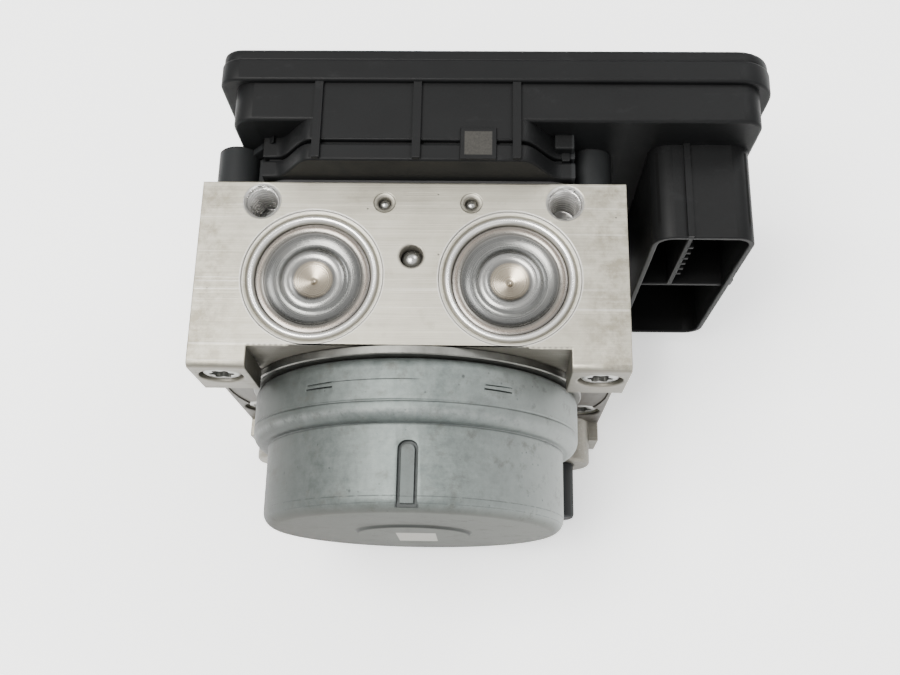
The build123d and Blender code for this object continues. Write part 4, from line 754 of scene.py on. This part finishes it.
turn_steps = 48
steps = turn_steps * spring_turns
for name, x in zip(("left", "right"), accumulators):
    spring, rings = bmesh.new(), []
    for step in range(steps + 1):
        angle = 2 * math.pi * step / turn_steps
        middle = spring_low + wire / 2 + (spring_high - spring_low - wire) * step / steps
        ring = []
        for out, up in ((-1, -1), (1, -1), (1, 1), (-1, 1)):
            reach = spring_radius + out * wire / 2
            across, along = reach * math.cos(angle), reach * math.sin(angle)
            place = (x + across, accumulator_y + along, middle + up * wire / 2)
            ring.append(spring.verts.new(place))
        rings.append(ring)
    for one, two in zip(rings, rings[1:]):
        for i in range(4):
            spring.faces.new((one[i], one[(i + 1) % 4], two[(i + 1) % 4], two[i]))
    spring.faces.new(rings[0])
    spring.faces.new(rings[-1])
    coil = piece(f"accumulator_coil_{name}", spring, "steel", f"accumulator_spring_{name}")
    anchor = (x * MM, accumulator_y * MM, spring_high * MM)
    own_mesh(coil)

# Each ball's place, its radius and how far its middle lies below the top
balls = bmesh.new()
ball_rows = ((small_balls[0], 1.45, 2.2), (small_balls[1], 1.45, 2.2), (large_ball, 2.5, 3.6))
for (x, y), radius, sunk in ball_rows:
    where = Matrix.Translation((x, y, block_top - sunk))
    bmesh.ops.create_uvsphere(balls, u_segments=40, v_segments=24, radius=radius, matrix=where)
piece("ball_plugs", balls, "steel", "closing_balls")

plugs, sockets = bmesh.new(), bmesh.new()
plug = [(0, 42), (pump_plug_radius, 42), (pump_plug_radius, 49.3)]
plug += [(7.7, pump_plug_end), (0, pump_plug_end)]
sixths = [math.pi / 3 * n for n in range(6)]
hexagon = [(hexagon_radius * math.cos(a), pump_z + hexagon_radius * math.sin(a)) for a in sixths]
for side in (-1, 1):
    turned(plugs, mirrored(plug, side), (0, pump_z), "X", 72)
    prism(sockets, hexagon, *sorted((side * 46.5, side * 50.5)), axis="X")
piece("pump_bore_plugs", carved(plugs, None, sockets, 0.12), "steel", "pump_plugs")

# --------------------------------------------------------------------------------------------------
# Motor
# --------------------------------------------------------------------------------------------------

flange = bmesh.new()
flange_ring = [(30, spotface_floor), (41.7, spotface_floor), (42.0, -20.1)]
flange_ring += [(42.0, -21.7), (41.75, -21.95), (30, -21.95)]
turned(flange, flange_ring, (0, pump_z), "Y", 180)
piece("motor_flange_ring", flange, "flange_steel", "motor_flange")

can_mesh, can_cut = bmesh.new(), bmesh.new()
arc = [math.pi / 2 * n / 10 for n in range(11)]
neck = [(can_neck + 2.8 * math.sin(a), -24.7 + 2.7 * math.cos(a)) for a in arc]
shoulder = [(can_radius, -26.9), (can_radius, -31.9), (40.8, -32.1), (40.8, -32.35)]
shoulder += [(can_radius, -32.55), (can_radius, -33.1)]
bead = [math.pi / 2 * n / 9 for n in range(1, 9)]
bead = [(can_barrel + 3.8 * math.cos(a) ** 0.8, -33.1 - 3.45 * math.sin(a)) for a in bead]
bead += [(37.35, -36.5), (can_barrel, -36.8)]
front = [(33.8 + 3.4 * math.cos(a), -52.55 - 3.4 * math.sin(a)) for a in arc]
nose = [(14.7, -55.95), (14.3, -56.05), (13.9, -56.5), (nose_radius, nose_front)]
can_side = [(0.0, can_back), (37.8, can_back)] + neck + shoulder + bead
turned(can_mesh, can_side + front + nose + [(0.0, nose_front)], (0, pump_z), "Y", 192)
slot_sides = rounded_corners(oblong(-1.9, 2.7, -55.1, -40.4), [0.4, 0.4, 2.0, 2.0], 8)
slot_ridge = rounded_corners(oblong(-1.15, 1.95, -54.3, -41.2), [0.2, 0.2, 1.3, 1.3], 8)
slot_bottom, ridge_top, slot_top = pump_z + 35.9, pump_z + 36.75, pump_z + 40.0
prism(can_cut, slot_sides, slot_bottom, slot_top, axis="Z", hole=slot_ridge)
prism(can_cut, inset(slot_ridge, -0.03), ridge_top, slot_top, axis="Z")
rear_sliver = oblong(-3.7, 3.7, -28.75, -28.4)
front_sliver = [(-3.4, -27.75), (3.7, -27.55), (3.7, -27.35), (-3.4, -27.5)]
for angle in (-30, 30):
    tab = bmesh.new()
    prism(tab, rear_sliver, 40.2, 42.0, axis="Z")
    prism(tab, front_sliver, 40.5, 42.0, axis="Z")
    turn = Matrix.Translation((0, 0, pump_z)) @ Matrix.Rotation(math.radians(angle), 4, "Y")
    bmesh.ops.transform(tab, matrix=turn, verts=tab.verts)
    data = bpy.data.meshes.new("tab")
    tab.to_mesh(data)
    tab.free()
    can_cut.from_mesh(data)
piece("motor_can_shell", carved(can_mesh, None, can_cut, 0.1), "can_steel", "motor_can", sharp=50)

transport_plug = [(0, -24.3), (5.36, -24.3), (5.36, -32.2), (5.8, -32.25), (5.8, -46.2)]
transport_plug += [(5.5, -46.95), (4.9, -47.25), (0, -47.25)]
for name, side in (("left", -1), ("right", 1)):
    cap = bmesh.new()
    turned(cap, transport_plug, (side * port_x, port_z), "Y", 56)
    piece(f"transport_plug_{name}", cap, "plug_plastic", f"port_plug_{name}")

# --------------------------------------------------------------------------------------------------
# Fixing screws with six-lobed sockets
# --------------------------------------------------------------------------------------------------

screws, lobes = bmesh.new(), bmesh.new()
head_seats = ((screw_high, -20.25), (screw_low, -15.25))
star_radius, star_lobe = 2.6, 0.45
star_angles = [2 * math.pi * n / 72 for n in range(72)]
star_reaches = [(star_radius + star_lobe * math.cos(6 * a), a) for a in star_angles]
for side in (-1, 1):
    x = side * screw_x
    for z, seat in head_seats:
        head = [(0, 30.0), (2.5, 30.0), (2.5, seat), (4.5, seat), (4.5, seat - 3.7)]
        head += [(4.3, seat - 4.2), (3.9, seat - 4.4), (0, seat - 4.4)]
        turned(screws, head, (x, z), "Y", 72)
        star = [(x + reach * math.cos(a), z + reach * math.sin(a)) for reach, a in star_reaches]
        prism(lobes, star, seat - 5.5, seat - 2.0)
piece("screw_set", carved(screws, None, lobes, 0.08), "screw_steel", "fixing_screws")

# --------------------------------------------------------------------------------------------------
# Controller housing, lid and plug socket
# --------------------------------------------------------------------------------------------------


def bowl_sides(shrink=0.0):
    """The coil bowl with its hump, whose ends curve down to the shoulders."""
    left, right, bottom, crown = shrunk(bowl, shrink)
    shoulder = hump_foot - shrink
    rise = crown - shoulder
    corners = [(left, shoulder), (left, bottom), (right, bottom), (right, shoulder)]
    points = rounded_corners(corners, [0, 6, 6, 0], 8)
    eased = [(n / 12, 3 * (n / 12) ** 2 - 2 * (n / 12) ** 3) for n in range(13)]
    for share, ease in eased:
        across = hump_right - shrink + rise * (1 - share)
        points.append(Vector((across, shoulder + rise * ease)))
    for share, ease in eased:
        points.append(Vector((hump_left + shrink - rise * share, crown - rise * ease)))
    return points


overlap = 0.5  # how far one moulding runs into the next
housing = bmesh.new()
prism(housing, rounded_box(*rim, rim_left_radius, rim_right_radius), rim_front, rim_back, 0.6)
prism(housing, rounded_box(*box, 5, 5), box_front, rim_front + overlap, 0.7)
prism(housing, bowl_sides(), housing_front, housing_front + 4.2, 0.5)
prism(housing, bowl_sides(1.3), housing_front + 3.6, housing_front + 6.0)
prism(housing, bowl_sides(), housing_front + 5.1, box_front + overlap, 0.4)
for x in (-22.0, 1.0, 24.0):
    rib = oblong(x - 0.95, x + 0.95, 96, 98.3)
    prism(housing, rib, housing_front + 0.2, rim_front + 0.3, 0.35)

# Screw bosses, the upper right one open and shifted, each with a web to the bowl
tube = [(0, 30.4), (2.52, 30.4), (2.52, 21.05), (4.9, 21.05), (5.2, 21.35), (5.2, 31.2)]
tube += [(4.9, 31.5), (0, 31.5)]
open_shift, web_half, web_front, web_back = -1.2, 1.1, 21.4, 31.4
for side, bowl_side in ((-1, bowl[0] + 1), (1, bowl[1] - 1)):
    for z in (screw_high, screw_low):
        shift = open_shift if side > 0 and z == screw_high else 0.0
        turned(housing, tube[2:] if shift else tube, (side * screw_x + shift, z), "Y", 64)
        low, high = sorted((side * screw_x * 0.95, bowl_side))
        web = oblong(low, high, z - web_half, z + web_half)
        prism(housing, web, web_front, web_back, 0.3)

# Brace at the left shoulder, two steps at the right one, the strip over the joint behind the
# hump and the label's pad
brace = [(-40.2, 81.5), (-40.2, 78.0), (-33.5, 85.0), (-33.5, 89.6)]
prism(housing, brace, 29.6, 31.4, 0.25)
prism(housing, oblong(33.2, 37.6, 84.0, 91.0), 27.4, 31.4, 0.5)
prism(housing, oblong(34.9, 36.7, 84.0, 88.8), 25.3, 28.0, 0.3)
strip = oblong(-22.9, 24.9, 95, 97.43)
prism(housing, strip, housing_front + 5.6, rim_front + 0.2)
label_pad = rounded_box(label_x - 4.2, label_x + 4.2, 95.0, label_top, 0.3, 0.3)
prism(housing, label_pad, label_y - 4.0, label_y + 3.9, 0.15)

# Plug socket with its divider, shelf, small ribs, key and side nub
socket_inner = shrunk(socket, socket_wall)
opening = rounded_box(*socket_inner, 3.6, 3.6)
walls_back = socket_floor + overlap
prism(housing, rounded_box(*socket, 5, 5), socket_mouth, box_front + overlap, 0.35, hole=opening)
prism(housing, rounded_box(*shrunk(socket, 0.5), 4, 4), socket_floor, box_front)
divider = oblong(divider_x - wall_half, divider_x + wall_half, shelf_z, 85.2)
prism(housing, divider, walls_front, walls_back, 0.3)
shelf = oblong(57, 79.6, shelf_z - wall_half, shelf_z + wall_half)
prism(housing, shelf, walls_front, walls_back, 0.3)
for rib in range(6):
    middle = (shelf_z + socket_inner[3]) / 2 + (rib - 2.5) * pin_pitch
    rib_sides = oblong(divider_x, 66.95, middle - 0.5, middle + 0.5)
    prism(housing, rib_sides, walls_front, walls_back, 0.15)
prism(housing, oblong(63.9, 65.4, 85, 86.9), socket_mouth + 0.1, box_front + 0.3, 0.2)
prism(housing, oblong(79.6, 82.2, 47.55, 50.95), 9.65, 12.05, 0.35)
piece("housing_shell", housing, "black_plastic", "controller_housing")

pins = bmesh.new()
pin_tip, pin_end = 21.0, 41.5
power_x, power_z, power_pitch, power_half = 68.3, 18.7, 8.0, 2.4
pin_rows = [shelf_z + 3.0 + row * pin_pitch for row in range(8)]
pin_columns = [61.175] + [72.425 + column * pin_pitch for column in (-1, 0, 1)]
signal_pins = [(x, z, pin_half) for x in pin_columns for z in pin_rows]
power_blades = [(power_x, power_z + row * power_pitch, power_half) for row in range(4)]
for x, z, half in signal_pins + power_blades:
    blade = oblong(x - half, x + half, z - pin_half, z + pin_half)
    prism(pins, blade, pin_tip, pin_end, 0.3)
piece("terminal_pins", pins, "contact_metal", "connector_pins")

lid, lid_cut = bmesh.new(), bmesh.new()
past_lid = lid_back + 1
lid_radii = (rim_left_radius - lid_gap, rim_right_radius - lid_gap)
prism(lid, rounded_box(*shrunk(rim, lid_gap), *lid_radii), rim_back - 1.0, lid_back, 1.2)
weld = rounded_box(*shrunk(rim, 4.0), 2.6, 5.6)
prism(lid_cut, weld, lid_back - 0.45, past_lid, hole=inset(weld, 0.9))
prism(lid_cut, rounded_box(-20.0, 44.0, 30.0, 72.0, 2.5, 2.5), lid_back - 0.30, past_lid)


def dimple(radius, depth, inner=0):
    """The cutter of a round mark in the lid, or of a ring with this inner radius."""
    floor_y = lid_back - depth
    return [(inner, floor_y), (radius, floor_y), (radius, past_lid), (inner, past_lid)]


breather_x, breather_z = 66.0, 26.0
turned(lid_cut, dimple(4.6, 0.5, 3.6), (breather_x, breather_z), "Y", 64)
for a in sixths:
    spot = (breather_x + 2.0 * math.cos(a), breather_z + 2.0 * math.sin(a))
    turned(lid_cut, dimple(0.45, 0.6), spot, "Y", 20)
ejector_marks = [(x, z) for x in (-34.0, 19.0) for z in (20.0, 86.0)]
for spot in ejector_marks + [(70.0, 86.0), (66.0, 54.0)]:
    turned(lid_cut, dimple(2.4, 0.15), spot, "Y", 40)
piece("lid_cover", carved(lid, None, lid_cut, 0.12), "black_plastic", "controller_lid")

# --------------------------------------------------------------------------------------------------
# Floor, light and camera
# --------------------------------------------------------------------------------------------------

floor_mesh = bmesh.new()
floor_half, floor_z = 3.0, -0.0001  # in metres, as are the lights' places
bmesh.ops.create_grid(floor_mesh, x_segments=1, y_segments=1, size=floor_half)
floor_data = bpy.data.meshes.new("floor")
floor_mesh.to_mesh(floor_data)
floor = bpy.data.objects.new("floor", floor_data)
floor.location.z = floor_z
bpy.context.scene.collection.objects.link(floor)
paper = Finish("pale_paper", roughness=0.9, Emission_Strength=0.60)
grain = paper.noise(300.0, 2.0)
paper_colour = paper.mix((0.93, 0.935, 0.93), (0.95, 0.955, 0.95), grain)
floor_data.materials.append(paper.done(paper_colour))


def area_light(name, place, aim, size, power, colour=(1, 1, 1)):
    lamp = bpy.data.lights.new(name, "AREA")
    lamp.shape, lamp.size, lamp.size_y = "RECTANGLE", *size
    lamp.energy, lamp.color = power, colour
    holder = bpy.data.objects.new(name, lamp)
    holder.location = place
    holder.rotation_euler = (Vector(aim) - Vector(place)).to_track_quat("-Z", "Y").to_euler()
    bpy.context.scene.collection.objects.link(holder)


top_middle, side_middle, warm = (0, 0, 0.07), (0, 0, 0.04), (1.0, 0.985, 0.96)
area_light("key_softbox", (-0.34, -0.06, 1.00), top_middle, (0.55, 0.45), 20.0, warm)
area_light("rear_softbox", (0.50, 0.55, 0.85), top_middle, (0.45, 0.35), 5.0)
area_light("front_fill", (0.6, -1.0, 0.5), side_middle, (0.9, 0.4), 4.0)
world = bpy.data.worlds.new("studio")
bpy.context.scene.world = world
world.use_nodes = True
sky = world.node_tree
backdrop = sky.nodes["Background"]
direction = sky.nodes.new("ShaderNodeTexCoord")
height = sky.nodes.new("ShaderNodeSeparateXYZ")
tones = sky.nodes.new("ShaderNodeValToRGB")
sky_stops = ((0.0, (0.50, 0.51, 0.53, 1.0)), (0.9, (1.0, 1.0, 1.0, 1.0)))
for element, (where, colour) in zip(tones.color_ramp.elements, sky_stops):
    element.position, element.color = where, colour
sky.links.new(direction.outputs["Generated"], height.inputs[0])
sky.links.new(height.outputs["Z"], tones.inputs[0])
sky.links.new(tones.outputs[0], backdrop.inputs["Color"])
backdrop.inputs["Strength"].default_value = 1.6

# The camera looks at aim from reach millimetres away; angles in degrees
lens_pixels, picture_width, shift_pixels, sensor_width = 1083.784, 900, -37.5, 36.0
elevation, yaw, roll, reach = 70.8547, 5.1769, -4.2956, 246.1244
aim = Vector((9.1393, -8.9195, block_top))
up_angle, side_angle, roll_angle = (math.radians(a) for a in (elevation, yaw, roll))
level = math.cos(up_angle)
back = Vector((math.sin(side_angle) * level, -math.cos(side_angle) * level, math.sin(up_angle)))
across = Vector((0, 0, 1)).cross(back).normalized()
above = back.cross(across)
view_x = across * math.cos(roll_angle) + above * math.sin(roll_angle)
view_y = above * math.cos(roll_angle) - across * math.sin(roll_angle)
camera_data = bpy.data.cameras.new("camera")
camera_data.sensor_width = sensor_width
camera_data.lens = lens_pixels / picture_width * sensor_width
camera_data.shift_y = shift_pixels / picture_width
camera_data.clip_start = 0.01
camera = bpy.data.objects.new("camera", camera_data)
bpy.context.scene.collection.objects.link(camera)
facing = Matrix((view_x, view_y, back)).transposed().to_4x4()
camera.matrix_world = Matrix.Translation((aim + back * reach) * MM) @ facing
bpy.context.scene.camera = camera
